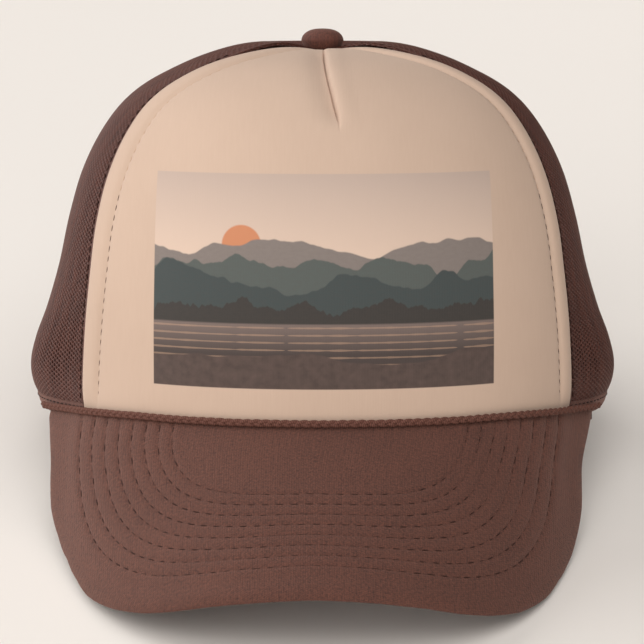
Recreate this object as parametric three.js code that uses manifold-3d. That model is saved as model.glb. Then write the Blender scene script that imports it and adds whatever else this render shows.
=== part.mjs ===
// A five-panel trucker cap: foam front, net back, stiffened peak, braided cord, top button and rear snap strap.
// Lengths are millimetres and angles are degrees. Each piece is drawn in the cap's own frame: the rim lies in
// the plane z = 0, +Z runs to the button and the peak points to -Y. The last lines lean the cap back until it
// rests on a table top, z = 0, on the corners of its peak and the back of its rim.
import * as THREE from "three";
import { mergeVertices } from "three/addons/utils/BufferGeometryUtils.js";
import Module from "manifold-3d";

const wasm = await Module();
wasm.setup();

// Driving dimensions
const clearance = 0.3; // between two pieces that touch
const facetSlack = 0.15; // more where the facets of two curved faces differ
const foamThickness = 2.8;
const netThickness = 1;
const tapeThickness = 0.6;
const foldThickness = 3.1; // of a binding folded over the net
const netInset = tapeThickness + clearance + facetSlack; // the net lies this far below the foam's face
const liningInset = foldThickness + clearance; // sweatband, strap and front tapes start here

// The crown's outer face in level sections from the rim up to the button. front, side and back are reaches
// from the middle, middle is how far back that lies, flare is how far the net swells out beyond the foam's
// line, and seam is the angle from the front at which the foam ends.
const crownSections = [
  { height: 0, front: 92, side: 93, back: 93, middle: 0, flare: 4, seam: 60.5 },
  { height: 8, front: 92.6, side: 94, back: 94, middle: 0, flare: 7.2, seam: 60 },
  { height: 16, front: 92.8, side: 94.4, back: 94.4, middle: 0, flare: 8.2, seam: 59.4 },
  { height: 25, front: 92.8, side: 94.4, back: 94, middle: 0, flare: 6.6, seam: 58.8 },
  { height: 35, front: 92.6, side: 93.9, back: 93, middle: 0, flare: 3.6, seam: 58.4 },
  { height: 49, front: 91.8, side: 92.2, back: 90.8, middle: 0.3, flare: 1, seam: 58.4 },
  { height: 65, front: 89.8, side: 89.6, back: 87.6, middle: 0.8, flare: 0, seam: 58.6 },
  { height: 81, front: 85.6, side: 84.9, back: 82.6, middle: 1.5, flare: 0, seam: 58.8 },
  { height: 95, front: 78.8, side: 78, back: 75, middle: 2.3, flare: 0, seam: 58.6 },
  { height: 106, front: 69.5, side: 69.4, back: 66.6, middle: 3, flare: 0, seam: 57.5 },
  { height: 114, front: 57.5, side: 58.2, back: 55.6, middle: 3.5, flare: 0, seam: 54 },
  { height: 120.4, front: 41.5, side: 42.8, back: 41, middle: 4, flare: 0, seam: 48 },
  { height: 124, front: 22, side: 23, back: 22, middle: 4, flare: 0, seam: 42 },
  { height: 121.6, front: 3, side: 3, back: 3, middle: 4, flare: 0, seam: 40 },
];
const topLevel = crownSections.length - 1;
const squareness = 2.1; // 2 is an ellipse, more is boxier
const temple = { dip: 2.6, from: 35, full: 78, hold: 100, to: 155, fadeHeight: 70 }; // the rim sinks at the sides
const sideSeam = 117; // angle of the seam between side and rear net
const backSeam = 180;
const flareWindow = { start: 62, full: 88, hold: 112, end: 155 }; // angles over which the net swells and settles
const seamShift = 1; // the foam sits this many degrees round to +X

const foldStrip = { width: 5.5, puff: 0.9, groove: 0.7, fade: 3, start: 5, full: 14 }; // the foam's turned and topstitched edge
const dart = { topOffset: 0.6, tipOffset: 5.6, tipHeight: 84, fullHeight: 108, depth: 2.4, leftWidth: 5, rightWidth: 2.4 };

const hem = { leg: 9 }; // folded binding on the net's lower edge
const arch = { halfWidth: 34, height: 44, squareness: 2.6, leg: 7 }; // rear opening and its binding
const sweatband = { heights: [0.8, 10, 16, 25, 34], thickness: 1.5 };
const seamTape = { halfWidth: 5, bottom: 36 };

const peak = {
  slope: 40, // fall of its middle below the rim's plane, away from the crown
  sideFall: 17, // how much more it falls at the sides
  length: 67.5, // along the middle, from crown to front edge
  halfWidth: 89.5,
  shift: -2.2, // it leans this far to -X, all of it from shiftReach out
  shiftReach: 30,
  shoulder: -22, // where the sides start to turn in, measured like length
  squareness: 2.5,
  endAngle: 74,
  tipWidth: 2,
  drop: 4.2, // from the upper face straight down to the lower
  rootHeight: 2.6, // top face above the rim, where it meets the crown
};
const cord = { radius: 1.4, rise: 1.1, endAngle: 78, sides: 8, steps: 48 };
const button = { radius: 7.4, height: 6.5, shankRadius: 2.6, shankLength: 7.6, washerRadius: 5, washerThickness: 0.8 };
const strap = { bottom: 2.5, top: 21.5, thickness: 1.2, lap: 13 }; // lap is how far it goes under the net beside the opening

const clothGive = 0.35; // how far the cloth gives where it rests

const degrees = THREE.MathUtils.degToRad;
const signedPower = (value, power) => Math.sign(value) * Math.abs(value) ** power;

// 0 up to start, 1 from full to hold, 0 again from end.
function plateau(value, start, full, hold, end) {
  return THREE.MathUtils.smoothstep(value, start, full) * (1 - THREE.MathUtils.smoothstep(value, hold, end));
}

// One column of the section table at a fractional row, on a smooth curve through the rows.
function sectionValue(column, level) {
  const row = Math.min(Math.floor(level), topLevel - 1);
  const t = level - row;
  const at = (i) => crownSections[THREE.MathUtils.clamp(i, 0, topLevel)][column];
  const before = row > 0 ? at(row - 1) : 2 * at(0) - at(1);
  const after = row + 2 <= topLevel ? at(row + 2) : 2 * at(topLevel) - at(topLevel - 1);
  const slopeIn = (at(row + 1) - before) / 2;
  const slopeOut = (after - at(row)) / 2;
  const a = 2 * at(row) - 2 * at(row + 1) + slopeIn + slopeOut;
  const b = -3 * at(row) + 3 * at(row + 1) - 2 * slopeIn - slopeOut;
  return ((a * t + b) * t + slopeIn) * t + at(row);
}

// The level, a fractional row of the table, at which the crown reaches a height.
function levelAtHeight(height) {
  let low = 0;
  let high = topLevel - 1;
  for (let i = 0; i < 40; i++) {
    const mid = (low + high) / 2;
    if (sectionValue("height", mid) < height) low = mid;
    else high = mid;
  }
  return low;
}

// A point on the crown's outer face. The angle runs from the front, positive to +X.
function crownFace(angle, level) {
  const a = degrees(angle);
  const power = 2 / squareness;
  const reach = Math.cos(a) > 0 ? sectionValue("front", level) : sectionValue("back", level);
  const x = sectionValue("side", level) * signedPower(Math.sin(a), power);
  const y = -reach * signedPower(Math.cos(a), power);
  const { start, full, hold, end } = flareWindow;
  const share = plateau(Math.abs(angle), start, full, hold, end);
  const swell = 1 + (sectionValue("flare", level) * share) / Math.hypot(x, y);
  const height = sectionValue("height", level);
  return new THREE.Vector3(x * swell, y * swell + sectionValue("middle", level), height - templeDip(angle, height));
}

function templeDip(angle, height) {
  const share = plateau(Math.abs(angle), temple.from, temple.full, temple.hold, temple.to);
  return temple.dip * share * (1 - THREE.MathUtils.smoothstep(height, 0, temple.fadeHeight));
}

// The same point moved inwards, square to the face.
function crownPoint(angle, level, inset = 0) {
  const step = 0.01;
  const point = crownFace(angle, level);
  const near = Math.min(level, topLevel - step);
  const round = crownFace(angle + step, near).sub(crownFace(angle - step, near));
  const up = crownFace(angle, near + step).sub(crownFace(angle, Math.max(near - step, 0)));
  const normal = round.cross(up).normalize();
  return point.addScaledVector(normal, -inset);
}

// Angle that a distance along a level section spans there.
function spanAngle(distance, level) {
  const reach = (sectionValue("side", level) + sectionValue("front", level)) / 2;
  return THREE.MathUtils.radToDeg(distance / reach);
}

// Angle of the seam between foam and net on one side, measured from the front.
const frontSeam = (side, level) => sectionValue("seam", level) + side * seamShift;

// Angle at the back of the crown where the section has this x.
function backAngle(x, level) {
  const share = Math.min(Math.abs(x) / sectionValue("side", level), 1);
  return Math.sign(x || 1) * (180 - THREE.MathUtils.radToDeg(Math.asin(share ** (squareness / 2))));
}

// Turns a mesh's faces round if they point inwards.
function facingOut(geometry) {
  const p = geometry.getAttribute("position");
  const index = geometry.index.array;
  const corner = [0, 1, 2].map(() => new THREE.Vector3());
  let volume = 0;
  for (let i = 0; i < index.length; i += 3) {
    corner.forEach((c, k) => c.fromBufferAttribute(p, index[i + k]));
    volume += corner[0].dot(corner[1].cross(corner[2]));
  }
  if (volume < 0) for (let i = 0; i < index.length; i += 3) [index[i + 1], index[i + 2]] = [index[i + 2], index[i + 1]];
  geometry.computeVertexNormals();
  return geometry;
}

function geometryFrom(points, index) {
  const geometry = new THREE.BufferGeometry().setFromPoints(points);
  geometry.setIndex(index);
  return facingOut(geometry);
}

// A closed sheet of cloth between two grids of points, faces[side](column, row).
function sheetSolid(columns, rows, outerPoint, innerPoint) {
  const points = [];
  const index = [];
  const count = columns * rows;
  const id = (side, i, j) => side * count + j * columns + i;
  for (const face of [outerPoint, innerPoint]) {
    for (let j = 0; j < rows; j++) for (let i = 0; i < columns; i++) points.push(face(i, j));
  }
  const quad = (a, b, c, d) => index.push(a, b, c, a, c, d);
  for (let j = 0; j < rows - 1; j++) {
    for (let i = 0; i < columns - 1; i++) {
      quad(id(0, i, j), id(0, i + 1, j), id(0, i + 1, j + 1), id(0, i, j + 1));
      quad(id(1, i, j + 1), id(1, i + 1, j + 1), id(1, i + 1, j), id(1, i, j));
    }
  }
  for (let i = 0; i < columns - 1; i++) {
    quad(id(1, i, 0), id(1, i + 1, 0), id(0, i + 1, 0), id(0, i, 0));
    quad(id(0, i, rows - 1), id(0, i + 1, rows - 1), id(1, i + 1, rows - 1), id(1, i, rows - 1));
  }
  for (let j = 0; j < rows - 1; j++) {
    quad(id(1, 0, j + 1), id(1, 0, j), id(0, 0, j), id(0, 0, j + 1));
    quad(id(0, columns - 1, j + 1), id(0, columns - 1, j), id(1, columns - 1, j), id(1, columns - 1, j + 1));
  }
  return geometryFrom(points, index);
}

// A closed strip with a constant section, given as [out, inset] pairs, carried from station to station.
function stripSolid(section, stations, pointAt) {
  const points = [];
  const index = [];
  const n = section.length;
  for (let k = 0; k < stations; k++) for (const [out, inset] of section) points.push(pointAt(k, out, inset));
  for (let k = 0; k < stations - 1; k++) {
    for (let i = 0; i < n; i++) {
      const [a, b] = [k * n + i, k * n + ((i + 1) % n)];
      index.push(a, b, b + n, a, b + n, a + n);
    }
  }
  const outline = section.map(([out, inset]) => new THREE.Vector2(out, inset));
  const turn = THREE.ShapeUtils.isClockWise(outline) ? -1 : 1;
  for (const [a, b, c] of THREE.ShapeUtils.triangulateShape(outline, [])) {
    const last = (stations - 1) * n;
    if (turn > 0) index.push(a, c, b, last + a, last + b, last + c);
    else index.push(a, b, c, last + a, last + c, last + b);
  }
  return geometryFrom(points, index);
}

// The section of a binding folded round an edge, as [distance from the fold, inset] pairs.
function foldedSection(leg) {
  const back = foldThickness;
  const t = tapeThickness;
  const along = [leg / 3, (2 * leg) / 3];
  return [
    [0, 0],
    ...along.map((out) => [out, 0]),
    [leg, 0],
    [leg, t],
    ...along.toReversed().map((out) => [out, t]),
    [t, t],
    [t, back - t],
    ...along.map((out) => [out, back - t]),
    [leg, back - t],
    [leg, back],
    ...along.toReversed().map((out) => [out, back]),
    [0, back],
  ];
}

const between = (from, to, share) => from + (to - from) * share;
const steps = (count) => Array.from({ length: count + 1 }, (_, i) => i / count);

// Solids for joining and cutting
function solidFrom(geometry) {
  const bare = geometry.clone();
  bare.deleteAttribute("normal");
  bare.deleteAttribute("uv");
  const merged = mergeVertices(bare, 1e-4);
  const mesh = new wasm.Mesh({
    numProp: 3,
    vertProperties: new Float32Array(merged.attributes.position.array),
    triVerts: new Uint32Array(merged.index.array),
  });
  return new wasm.Manifold(mesh);
}

function geometryOf(solid) {
  const { numProp, numVert, vertProperties, triVerts } = solid.getMesh();
  const points = [];
  for (let i = 0; i < numVert; i++) points.push(new THREE.Vector3().fromArray(vertProperties, i * numProp));
  return geometryFrom(points, Array.from(triVerts));
}

// Height of the folded strip above the foam's face, and of its stitched groove below it.
function stripRelief(fromEdge, level) {
  const { width, puff, groove, fade, start, full } = foldStrip;
  const strip = fromEdge < width ? puff * Math.sin((Math.PI * fromEdge) / width) : 0;
  const share = THREE.MathUtils.smoothstep(sectionValue("height", level), start, full);
  return share * (strip - groove * Math.exp(-(((fromEdge - width) / (fade / 2)) ** 2)));
}

// Depth of the dart's pinch, which runs down from the button and fades out at its tip.
function dartPinch(fromDart, level) {
  const spread = fromDart < 0 ? dart.leftWidth : dart.rightWidth;
  const height = sectionValue("height", level);
  const fade = THREE.MathUtils.smoothstep(height, dart.tipHeight, dart.fullHeight);
  return dart.depth * fade * Math.exp(-((fromDart / spread) ** 2));
}

function dartAngle(level) {
  const share = THREE.MathUtils.clamp((topLevel - level) / (topLevel - levelAtHeight(dart.tipHeight)), 0, 1);
  const x = between(dart.topOffset, dart.tipOffset, share);
  const side = sectionValue("side", level);
  return THREE.MathUtils.radToDeg(Math.asin(Math.min(x / side, 0.25)));
}

const panelHeights = [0, 5, 10, 16, 25, 36, 50, 66, 80, 92, 102, 110, 116.5, 120.8, 123.4];

// Columns of the foam panel at a level: close together on the folded strips and round the dart.
const stripColumns = [0, 1.2, 2.8, 4.2, 5.5, 7.5];
const dartColumns = [-11, -6, -3, 0, 2, 5, 10];
const fieldColumns = 5;

function foamColumns(level) {
  const nudge = spanAngle(clearance / 2, level);
  const seam = sectionValue("seam", level) - nudge;
  const middle = dartAngle(level);
  const reach = spanAngle(1, level);
  const squeeze = Math.min(1, (seam * 0.42) / (stripColumns.at(-1) * reach));
  const strip = stripColumns.map((d) => d * reach * squeeze);
  const centre = dartColumns.map((offset) => middle + offset);
  const left = strip.map((s) => nudge - frontSeam(-1, level) + s);
  const right = strip.map((s) => frontSeam(1, level) - nudge - s).reverse();
  const fill = (from, to) => steps(fieldColumns).slice(1, -1).map((share) => between(from, to, share));
  return [...left, ...fill(left.at(-1), centre[0]), ...centre, ...fill(centre.at(-1), right[0]), ...right];
}

function frontPanel() {
  const levels = panelHeights.map(levelAtHeight).concat(topLevel);
  const grid = levels.map((level) => foamColumns(level));
  const point = (i, j, inner) => {
    const level = levels[j];
    const angle = grid[j][i];
    const arc = 1 / spanAngle(1, level);
    const fromEdge = (frontSeam(Math.sign(angle), level) - Math.abs(angle)) * arc;
    const pinch = dartPinch((angle - dartAngle(level)) * arc, level);
    return crownPoint(angle, level, inner ? foamThickness + pinch : pinch - stripRelief(fromEdge, level));
  };
  return sheetSolid(
    grid[0].length,
    levels.length,
    (i, j) => point(i, j, false),
    (i, j) => point(i, j, true),
  );
}

const netBottom = netInset; // the net's edge stands inside the fold of its binding
const netHeights = [netBottom, 4, hem.leg, 16, 25, 36, 50, 66, 80, 92, 102, 110, 116.5, 120.8, 123.4];
const netLevels = netHeights.map(levelAtHeight).concat(topLevel);
const sideNetShares = steps(12);
const backNetShares = steps(6);

// A side net panel: side is 1 on +X and -1 on -X.
function sideNet(side) {
  const at = (i, j, inset) => {
    const level = netLevels[j];
    const nudge = spanAngle(clearance / 2, level);
    const angle = between(frontSeam(side, level) + nudge, sideSeam - nudge, sideNetShares[i]);
    return crownPoint(side * angle, level, inset);
  };
  return sheetSolid(
    sideNetShares.length,
    netLevels.length,
    (i, j) => at(i, j, netInset),
    (i, j) => at(i, j, netInset + netThickness),
  );
}

// A point of the rear opening's edge, grown by a margin: turn is 0 at its foot and a right angle at its top.
function archPoint(turn, margin) {
  const power = 2 / arch.squareness;
  const x = (arch.halfWidth + margin) * Math.cos(turn) ** power;
  return { x, height: (arch.height + margin) * Math.sin(turn) ** power };
}

const archTurns = steps(10).map((share) => (Math.PI / 2) * (1 - share)); // from the top down to the foot

// A rear net panel, cut away over the strap: its first columns rise from the opening's edge.
function backNet(side) {
  const columns = archTurns.length + backNetShares.length - 1;
  const last = archTurns.length - 1;
  const upper = 0.34; // share of the panel's upper edge that the columns over the opening take
  const at = (i, j, inset) => {
    const share = (netLevels[j] - netLevels[0]) / (topLevel - netLevels[0]);
    const foot = archPoint(archTurns[Math.min(i, last)], netInset);
    const overArch = i <= last;
    const low = levelAtHeight(Math.max(overArch ? foot.height : 0, netBottom));
    const level = overArch ? between(low, topLevel, share) : netLevels[j];
    const nudge = spanAngle(clearance / 2, level);
    const start = Math.min(backAngle(foot.x, low), backSeam - nudge);
    const outer = sideSeam + nudge;
    const top = between(backSeam - nudge, outer, (upper * Math.min(i, last)) / last);
    const angle = between(start, top, share);
    return crownPoint(side * (overArch ? angle : between(angle, outer, backNetShares[i - last])), level, inset);
  };
  return sheetSolid(
    columns,
    netLevels.length,
    (i, j) => at(i, j, netInset),
    (i, j) => at(i, j, netInset + netThickness),
  );
}

// The folded binding along the net's lower edge, from the foam to the rear opening.
function hemBinding(side) {
  const pointAt = (k, out, inset) => {
    const level = levelAtHeight(out);
    const nudge = spanAngle(clearance / 2, level);
    const start = frontSeam(side, level) + nudge;
    const end = backAngle(arch.halfWidth, level);
    const sideCount = sideNetShares.length - 1;
    const along = k <= sideCount ? sideNetShares[k] : backNetShares[backNetShares.length - 1 - (k - sideCount)];
    return crownPoint(side * (k <= sideCount ? between(start, sideSeam, along) : between(end, sideSeam, along)), level, inset);
  };
  return stripSolid(foldedSection(hem.leg), sideNetShares.length + backNetShares.length - 1, pointAt);
}

// The folded binding round the rear opening, down to the hem on either side.
function archBinding() {
  const turns = archTurns.slice(0, -1);
  const half = turns.length - 1;
  const pointAt = (k, out, inset) => {
    const { x, height } = archPoint(turns[Math.abs(k - half)], out);
    const level = levelAtHeight(k % (2 * half) === 0 ? hem.leg + clearance : height);
    return crownPoint(backAngle(k < half ? -x : x, level), level, inset);
  };
  return stripSolid(foldedSection(arch.leg), 2 * half + 1, pointAt);
}

// A woven tape inside a panel seam.
function seamTapeSolid(angleAt, bottomHeight, inset) {
  const levels = [bottomHeight, ...netHeights.filter((h) => h > bottomHeight + 3 && h < 122)].map(levelAtHeight);
  const at = (i, j, depth) => {
    const level = levels[j];
    const width = spanAngle(seamTape.halfWidth, level);
    return crownPoint(angleAt(level) + (i - 1) * width, level, depth);
  };
  return sheetSolid(
    3,
    levels.length,
    (i, j) => at(i, j, inset),
    (i, j) => at(i, j, inset + tapeThickness),
  );
}

function sweatbandSolid() {
  const columns = 51;
  const end = (level) => backAngle(arch.halfWidth + strap.lap + clearance, level);
  const levels = sweatband.heights.map(levelAtHeight);
  const at = (i, j, inset) => {
    const reach = end(levels[j]);
    return crownPoint(between(-reach, reach, i / (columns - 1)), levels[j], liningInset + inset);
  };
  return sheetSolid(
    columns,
    levels.length,
    (i, j) => at(i, j, 0),
    (i, j) => at(i, j, sweatband.thickness),
  );
}

// Peak: the root lies on the crown just above the rim, and is carried forwards and down in straight lines.
const peakFall = degrees(peak.slope);
const peakForward = new THREE.Vector3(0, -Math.cos(peakFall), -Math.sin(peakFall));
const rootLevel = levelAtHeight(peak.rootHeight);

// The root's line at an angle from the front.
function rootPoint(angle) {
  const point = crownPoint(angle, rootLevel);
  const out = new THREE.Vector2(point.x, point.y).setLength(clearance);
  return point.set(point.x + out.x, point.y + out.y, point.z);
}

const rootFront = rootPoint(0);

// The root's line at an x.
function rootAt(x) {
  let low = 0;
  let high = 89;
  for (let i = 0; i < 26; i++) {
    const mid = (low + high) / 2;
    if (rootPoint(mid).x < Math.abs(x)) low = mid;
    else high = mid;
  }
  return rootPoint(low).setX(x);
}

const rootAlong = (x) => rootAt(x).sub(rootFront).dot(peakForward);

// A point of the peak's upper face from its x and its distance forwards, measured from the root's middle.
function peakPoint(x, along, drop = 0) {
  const root = rootAt(x);
  const reach = along - root.clone().sub(rootFront).dot(peakForward);
  const fall = peakFall + degrees(peak.sideFall) * (x / peak.halfWidth) ** 2;
  const lean = peak.shift * THREE.MathUtils.smoothstep(reach, 0, peak.shiftReach);
  return root.add(new THREE.Vector3(lean, -reach * Math.cos(fall), -reach * Math.sin(fall) - drop));
}

// The peak's outline as [x, along] pairs by a share from one tip to the other.
function peakEdge(share) {
  const tipX = rootPoint(peak.endAngle).x;
  const tip = { x: tipX, along: rootAlong(tipX) + peak.tipWidth };
  const straight = 0.16;
  const near = Math.min(share, 1 - share);
  const side = share < 0.5 ? -1 : 1;
  if (near < straight) {
    const t = near / straight;
    return [side * between(tip.x, peak.halfWidth, Math.sin((t * Math.PI) / 2)), between(tip.along, peak.shoulder, t)];
  }
  const turn = ((near - straight) / (0.5 - straight)) * (Math.PI / 2);
  const power = 2 / peak.squareness;
  const x = peak.halfWidth * Math.cos(turn) ** power;
  return [side * x, peak.shoulder + (peak.length - peak.shoulder) * Math.sin(turn) ** power];
}

function peakSolid() {
  const columns = 41;
  const rows = 8;
  const at = (i, j, drop) => {
    const share = i / (columns - 1);
    const [edgeX, edgeAlong] = peakEdge(share);
    const rootX = rootPoint(peak.endAngle * (2 * share - 1)).x;
    const t = j / (rows - 1);
    return peakPoint(between(rootX, edgeX, t), between(rootAlong(rootX), edgeAlong, t), drop);
  };
  return sheetSolid(
    columns,
    rows,
    (i, j) => at(i, j, 0),
    (i, j) => at(i, j, peak.drop),
  );
}

// The cord lies in the corner between the crown and the peak.
function cordSolid() {
  const seat = cord.radius + clearance;
  const level = levelAtHeight(peak.rootHeight + cord.rise);
  const points = steps(28).map((t) => crownPoint(between(-cord.endAngle, cord.endAngle, t), level, -seat));
  const outline = new THREE.Shape(
    steps(cord.sides)
      .slice(0, -1)
      .map((t) => new THREE.Vector2(Math.cos(2 * Math.PI * t), Math.sin(2 * Math.PI * t)).multiplyScalar(cord.radius)),
  );
  return new THREE.ExtrudeGeometry(outline, {
    steps: cord.steps,
    extrudePath: new THREE.CatmullRomCurve3(points),
    bevelEnabled: false,
  });
}

// Button, tapered below, with the shank and washer that hold it through the panels' tips.
function buttonSolid() {
  const { radius, height, shankRadius, shankLength, washerRadius, washerThickness } = button;
  const profile = [
    [0, -shankLength - washerThickness],
    [washerRadius, -shankLength - washerThickness],
    [washerRadius, -shankLength],
    [shankRadius, -shankLength],
    [shankRadius, 0],
    [radius * 0.5, height * 0.04],
    [radius * 0.84, height * 0.18],
  ];
  const domeSteps = 7;
  for (let i = 0; i <= domeSteps; i++) {
    const turn = (Math.PI / 2) * (i / domeSteps);
    profile.push([i === domeSteps ? 0 : radius * Math.cos(turn) ** 0.8, height * (0.48 + 0.52 * Math.sin(turn))]);
  }
  const outline = profile.map(([r, z]) => new THREE.Vector2(r, z));
  return new THREE.LatheGeometry(outline, 18).rotateX(Math.PI / 2);
}

// A curved bar that follows the rim at the back between two x positions.
function backBar(fromX, toX, bottom, top, inset, thickness, columns) {
  const at = (i, j, depth) => {
    const level = levelAtHeight(between(bottom, top, j / 3));
    return crownPoint(backAngle(between(fromX, toX, i / (columns - 1)) || 0.001, level), level, depth);
  };
  return sheetSolid(
    columns,
    4,
    (i, j) => at(i, j, inset),
    (i, j) => at(i, j, inset + thickness),
  );
}

// Snap strap: one plain piece, two lengths lapped and closed with a row of studs.
function strapSolid() {
  const end = arch.halfWidth + strap.lap;
  return backBar(-end, end, strap.bottom, strap.top, liningInset + facetSlack, strap.thickness, 24);
}

const finishes = {
  foam: { color: 0xd9c0ad, roughness: 0.85 },
  cloth: { color: 0x6b463f, roughness: 0.9 },
  net: { color: 0x64413a, roughness: 0.7 },
  tape: { color: 0x5a3a33, roughness: 0.85 },
  plastic: { color: 0x553630, roughness: 0.4 },
};

const cap = new THREE.Group();

function addPiece(name, geometry, finish) {
  const material = new THREE.MeshStandardMaterial({ metalness: 0, ...finishes[finish] });
  const mesh = new THREE.Mesh(geometry, material);
  mesh.name = name;
  cap.add(mesh);
  return mesh;
}

const netTapeInset = netInset + netThickness + clearance + facetSlack;
addPiece("front_panel", frontPanel(), "foam");
for (const [name, side] of [["right", 1], ["left", -1]]) {
  addPiece(`mesh_side_${name}`, sideNet(side), "net");
  addPiece(`mesh_back_${name}`, backNet(side), "net");
  addPiece(`hem_${name}`, hemBinding(side), "tape");
  const overFoam = (level) => side * frontSeam(side, level);
  addPiece(`seam_tape_front_${name}`, seamTapeSolid(overFoam, seamTape.bottom, foamThickness + clearance), "tape");
  addPiece(`seam_tape_side_${name}`, seamTapeSolid(() => side * sideSeam, seamTape.bottom, netTapeInset), "tape");
}
const archTop = arch.height + arch.leg + clearance;
addPiece("seam_tape_back", seamTapeSolid(() => backSeam, archTop, netTapeInset), "tape");
addPiece("arch_binding", archBinding(), "tape");
addPiece("sweatband", sweatbandSolid(), "cloth");
addPiece("peak", peakSolid(), "cloth");
addPiece("cord", cordSolid(), "cloth");
const buttonMesh = addPiece("button", buttonSolid(), "cloth");
buttonMesh.position.set(0, crownSections[topLevel].middle, crownSections[topLevel].height);
addPiece("rear_strap", strapSolid(), "plastic");

// The backward lean at which the peak's corners and the rim's back both touch the table.
function lowest(meshes, lean) {
  const [c, n] = [Math.cos(lean), Math.sin(lean)];
  let low = Infinity;
  for (const mesh of meshes) {
    const p = mesh.geometry.getAttribute("position");
    for (let i = 0; i < p.count; i++) low = Math.min(low, p.getZ(i) * c - p.getY(i) * n);
  }
  return low;
}

const front = [cap.getObjectByName("peak")];
const rear = [cap.getObjectByName("hem_left"), cap.getObjectByName("hem_right")];
let [leanLow, leanHigh] = [0, degrees(40)];
for (let i = 0; i < 40; i++) {
  const lean = (leanLow + leanHigh) / 2;
  if (lowest(front, lean) < lowest(rear, lean)) leanLow = lean;
  else leanHigh = lean;
}
cap.rotation.x = -leanLow;
cap.updateMatrixWorld(true);
const extent = new THREE.Box3().setFromObject(cap, true);
const centre = extent.getCenter(new THREE.Vector3());
cap.position.set(-centre.x, -centre.y, -lowest(front, leanLow) - clothGive);
cap.updateMatrixWorld(true);

// Cloth that rests on the table is pressed flat there.
const table = new THREE.BoxGeometry(400, 400, 20).translate(0, 0, -10).applyMatrix4(cap.matrixWorld.clone().invert());
for (const mesh of [...front, ...rear]) {
  mesh.geometry = geometryOf(solidFrom(mesh.geometry).subtract(solidFrom(table)));
}

export default cap;
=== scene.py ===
"""A trucker cap with a foam front, a printed panel, net sides and back, a stitched peak and a snap strap.

The tables and shape functions are in millimetres and degrees and draw each piece in the cap's own frame:
the rim at z = 0, +Z to the button, the peak towards -Y. to_scene leans the cap back as it stands and gives
metres.
"""

import math

import bpy
import numpy as np
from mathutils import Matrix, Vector


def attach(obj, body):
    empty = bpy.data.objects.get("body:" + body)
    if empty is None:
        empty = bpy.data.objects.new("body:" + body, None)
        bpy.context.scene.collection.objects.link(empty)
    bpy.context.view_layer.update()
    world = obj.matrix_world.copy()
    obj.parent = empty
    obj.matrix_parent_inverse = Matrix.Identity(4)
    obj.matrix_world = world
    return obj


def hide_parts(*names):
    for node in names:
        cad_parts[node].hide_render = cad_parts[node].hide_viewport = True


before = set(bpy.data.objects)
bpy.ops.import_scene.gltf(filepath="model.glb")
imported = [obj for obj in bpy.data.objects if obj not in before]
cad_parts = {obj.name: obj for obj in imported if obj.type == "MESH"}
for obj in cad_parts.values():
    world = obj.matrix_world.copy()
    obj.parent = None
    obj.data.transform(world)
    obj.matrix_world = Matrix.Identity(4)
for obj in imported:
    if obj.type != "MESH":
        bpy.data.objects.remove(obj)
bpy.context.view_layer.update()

# How the cap stands
LEAN = 16.795909662941995
PLACE = (-0.0262908935546875, 24.060954685140132, 24.924714289180596)

# The crown's outer face in level sections from the rim to the button
CROWN_COLUMNS = ("height", "front", "side", "back", "middle", "flare", "seam")
CROWN_ROWS = np.array(
    [
        (0, 92, 93, 93, 0, 4.8, 60.5),
        (8, 92.6, 94, 94, 0, 8.4, 60),
        (16, 92.8, 94.4, 94.4, 0, 9.1, 59.4),
        (25, 92.8, 94.4, 94, 0, 7.0, 58.8),
        (35, 92.6, 93.9, 93, 0, 3.6, 58.4),
        (49, 91.8, 92.2, 90.8, 0.3, 1, 58.4),
        (65, 89.8, 89.6, 87.6, 0.8, 0, 58.6),
        (81, 85.6, 84.9, 82.6, 1.5, 0, 58.8),
        (95, 78.8, 78, 75, 2.3, 0, 58.6),
        (106, 69.5, 69.4, 66.6, 3, 0, 57.5),
        (114, 57.5, 58.2, 55.6, 3.5, 0, 54),
        (120.4, 41.5, 42.8, 41, 4, 0, 48),
        (124, 22, 23, 22, 4, 0, 42),
        (121.6, 3, 3, 3, 4, 0, 40),
    ],
    float,
)
TOP_LEVEL = len(CROWN_ROWS) - 1
SQUARENESS = 2.1
TEMPLE = {"dip": 2.6, "window": (35, 78, 100, 155), "fade_height": 70}
FLARE_WINDOW = (62, 88, 112, 155)
SIDE_SEAM = 117
BACK_SEAM = 180
SEAM = {  # in degrees
    "out": 1.1,  # the foam reaches this much further round than the table says
    "shift": 2.1,  # and sits this much towards +X
}
SEAM_GAP = 0.15

FOAM = {
    "thickness": 2.8,
    "strip": 10.5,  # width of the turned edge
    "strip_most": 0.42,  # the most of half the front that it takes up, near the crest
    "puff": 0.9,
    "groove": 0.65,
    "fade": 2.6,
    "edge_drop": 1.2,
    "edge_round": 1.8,
    "crest_drop": 1.2,  # lower at the crest, where the cover is stretched to the button
    "right_share": 0.8,  # the turned edge is narrower on the +X side
    "pitch": 3.4,
}
STRIP_COLUMNS = np.array(
    [0, 0.25, 0.6, 1.0, 1.5, 2.1, 3.0, 4.2, 5.6, 7.0, 8.2, 9.0, 9.6, 10.0, 10.3, 10.6, 10.9, 11.3, 11.9, 13.0]
)
DART_COLUMNS = np.concatenate(
    [np.linspace(*run) for run in ((-12, -3, 8), (-2.6, -0.6, 7), (-0.45, 0.6, 15), (0.8, 12, 12))]
)
FIELD_COLUMNS = np.linspace(0, 1, 38)[1:-1]
DART = {
    "tip_height": 97,
    "full_height": 105,
    "depth": 1.9,
    "left": 4.2,
    "right": 0.55,
    "ridge": 0.3,
    "crease": 0.9,
}
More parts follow.
